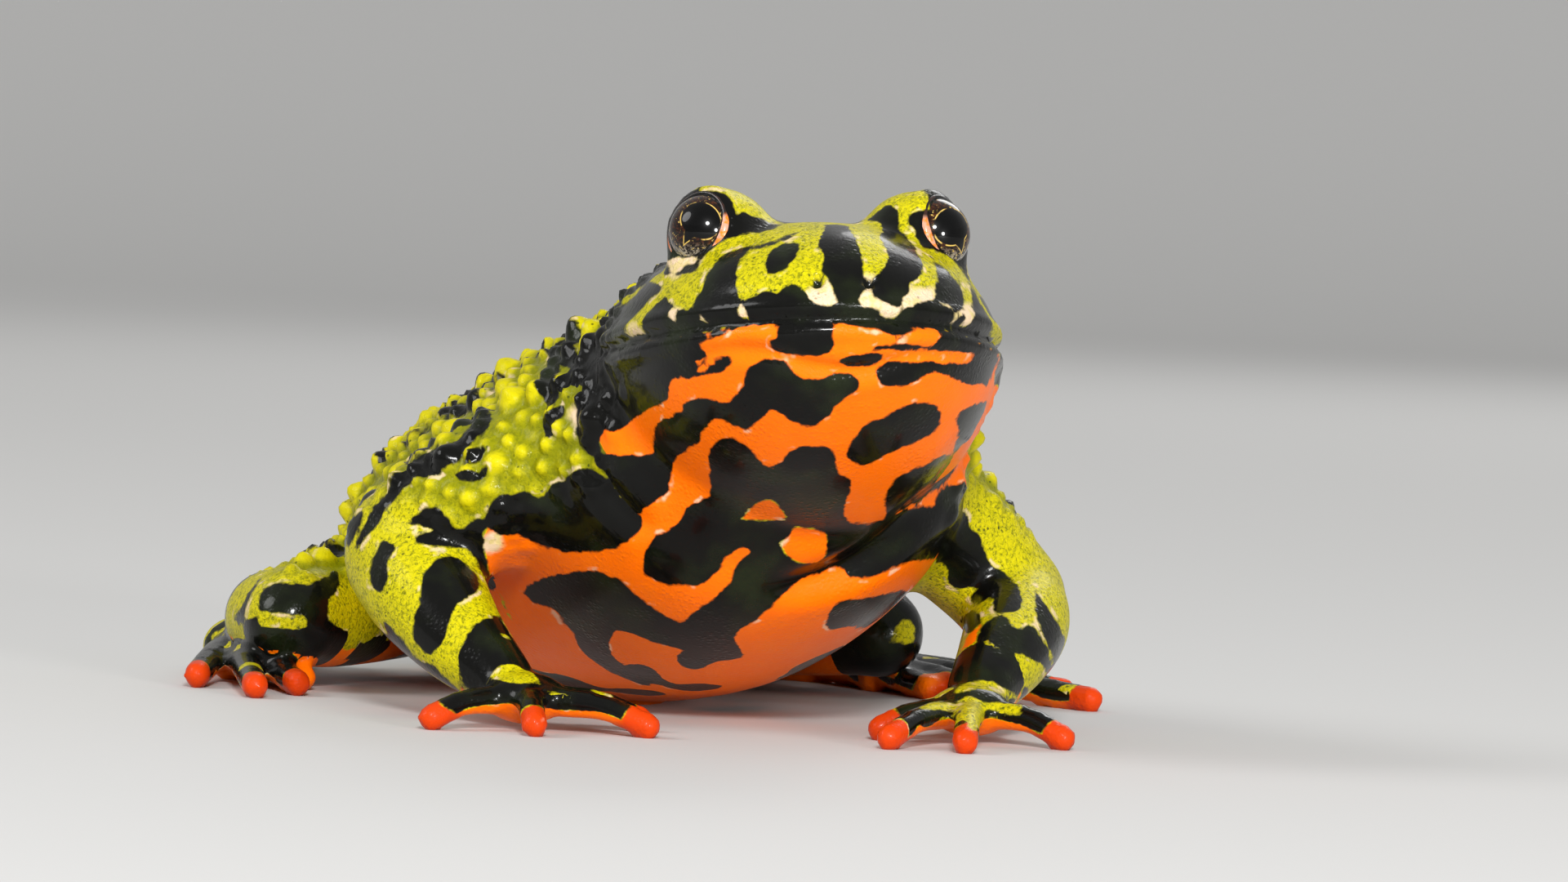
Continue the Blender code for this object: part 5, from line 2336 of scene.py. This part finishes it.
@dataclass(frozen=True)
class Lamp:
    """A soft round lamp that shines on the toad: its place, its power in watts and its width."""

    name: str
    place: Row
    power: float
    width: float
    aim: Row = (0.0, 0.0, 10.0)

    def hang(self) -> None:
        """Puts the lamp into the scene."""
        data = bpy.data.lights.new(self.name, "AREA")
        data.shape = "DISK"
        data.size = self.width * MM
        data.energy = self.power
        obj = bpy.data.objects.new(self.name, data)
        spot = Vector(self.place) * MM
        turn = (Vector(self.aim) * MM - spot).to_track_quat("-Z", "Y")
        obj.matrix_world = Matrix.Translation(spot) @ turn.to_matrix().to_4x4()
        bpy.context.scene.collection.objects.link(obj)


@dataclass(frozen=True)
class Studio:
    """A pale floor that sweeps up all round, soft lamps and a pale surround."""

    flat_radius: float = 700.0
    floor_sides: int = 128
    sweep_reach: float = 2300.0
    sweep_rise: float = 900.0
    sweep_steps: int = 24
    surround: float = 0.45
    lamps: tuple[Lamp, ...] = (
        Lamp("key_lamp", (-150.0, -420.0, 230.0), 2.0, 90.0),
        Lamp("low_lamp", (60.0, -500.0, 70.0), 1.25, 90.0),
        Lamp("side_lamp", (-450.0, 100.0, 330.0), 1.2, 260.0),
        Lamp("back_lamp", (330.0, 380.0, 330.0), 0.6, 260.0),
    )

    def add_floor(self) -> None:
        """Lays the floor, a round sheet that sweeps up towards its edge."""
        bm = bmesh.new()
        sides, radius = self.floor_sides, self.flat_radius
        bmesh.ops.create_circle(bm, cap_ends=True, radius=radius, segments=sides)
        height = 0.0
        for step in range(1, self.sweep_steps + 1):
            share = step / self.sweep_steps
            wider, higher = self.flat_radius + self.sweep_reach * share, self.sweep_rise * share**2
            rim = [edge for edge in bm.edges if edge.is_boundary]
            made = bmesh.ops.extrude_edge_only(bm, edges=rim)["geom"]
            verts = [item for item in made if isinstance(item, bmesh.types.BMVert)]
            bmesh.ops.scale(bm, verts=verts, vec=(wider / radius, wider / radius, 1.0))
            bmesh.ops.translate(bm, verts=verts, vec=(0, 0, higher - height))
            radius, height = wider, higher
        floor = new_object("floor", bm)
        floor.data.shade_smooth()
        floor.data.materials.append(FloorFinish().material())

    def build(self) -> None:
        """Sets up the whole studio."""
        self.add_floor()
        for lamp in self.lamps:
            lamp.hang()
        world = bpy.data.worlds.new("surround")
        world.use_nodes = True
        ground = world.node_tree.nodes["Background"]
        ground.inputs["Color"].default_value = (1.0, 1.0, 1.0, 1.0)
        ground.inputs["Strength"].default_value = self.surround
        bpy.context.scene.world = world
        bpy.context.scene.view_settings.view_transform = "Standard"


ARMS = {
    "right": Arm(
        upper=((-6.4, -5.0, 10.0, 2.9), (-9.4, -3.6, 8.4, 2.8), (-11.8, -1.4, 6.2, 2.5)),
        fore=(
            (-11.9, -1.4, 5.8, 2.4),
            (-11.9, -4.0, 4.6, 2.3),
            (-11.4, -6.4, 3.1, 1.8),
            (-10.6, -8.7, 1.8, 1.25),
        ),
        palm=(-10.2, -10.2, 1.2),
        fingertips=((-5.6, -10.4), (-6.6, -13.6), (-11.1, -13.6), (-14.2, -11.0)),
    ),
    "left": Arm(
        upper=((6.4, -5.4, 9.2, 2.8), (9.4, -5.0, 7.2, 2.5), (12.1, -4.6, 5.0, 2.2)),
        fore=(
            (12.1, -4.8, 4.8, 2.1),
            (11.3, -7.0, 4.1, 2.1),
            (9.6, -9.6, 3.1, 1.8),
            (7.6, -12.0, 1.9, 1.3),
        ),
        palm=(6.6, -13.4, 1.2),
        fingertips=((3.0, -13.2), (1.5, -17.5), (3.9, -19.0), (8.9, -16.8)),
    ),
}

LEGS = {
    "right": Leg(
        side=-1,
        tarsus_out=((8.0, 21.2, 1.2, 1.15), (10.6, 20.2, 1.1, 1.1), (12.0, 18.0, 1.0, 1.2)),
        toe_tips_out=((12.4, 12.8), (12.4, 8.2), (13.7, 5.2), (16.0, 3.6), (16.6, 8.8)),
    ),
    "left": Leg(
        side=1,
        tarsus_out=((8.4, 21.4, 1.2, 1.15), (11.6, 20.6, 1.1, 1.1), (13.6, 18.2, 1.0, 1.25)),
        toe_tips_out=((14.0, 12.6), (14.6, 8.4), (16.4, 5.0), (19.4, 3.2), (20.4, 8.0)),
    ),
}


def main() -> None:
    """Builds the toad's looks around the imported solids."""
    logging.basicConfig(level=logging.INFO, format="%(name)s: %(message)s")
    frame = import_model()
    head, trunk, camera = Head(), Trunk(), Camera()
    camera.add()

    skin = Skin(head, trunk, ARMS, LEGS).build(Markings(head, trunk, ARMS, LEGS, camera))
    skin.data.materials.append(SkinFinish().material())
    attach(skin, "root")
    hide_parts(*[name for name in frame["nodes"] if name not in EYE_NODES])
    LOG.info("skin dressed")

    eyes = (
        Eye("right", -1, head, look_azimuth=-34.0, look_rise=20.0, tip_angle=-124.0),
        Eye("left", 1, head, look_azimuth=11.0, look_rise=17.0, tip_angle=-60.0),
    )
    eye_finish, rim_finish = EyeFinish().material(), RimFinish().material()
    for eye in eyes:
        ball, rim = eye.ball(), eye.rim()
        ball.data.materials.append(eye_finish)
        rim.data.materials.append(rim_finish)
        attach(ball, "root")
        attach(rim, "root")
        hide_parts("eye_" + eye.name)
        LOG.info("eye dressed: %s", eye.name)

    Studio().build()
    LOG.info("sizes written")


if __name__ == "__main__":
    main()
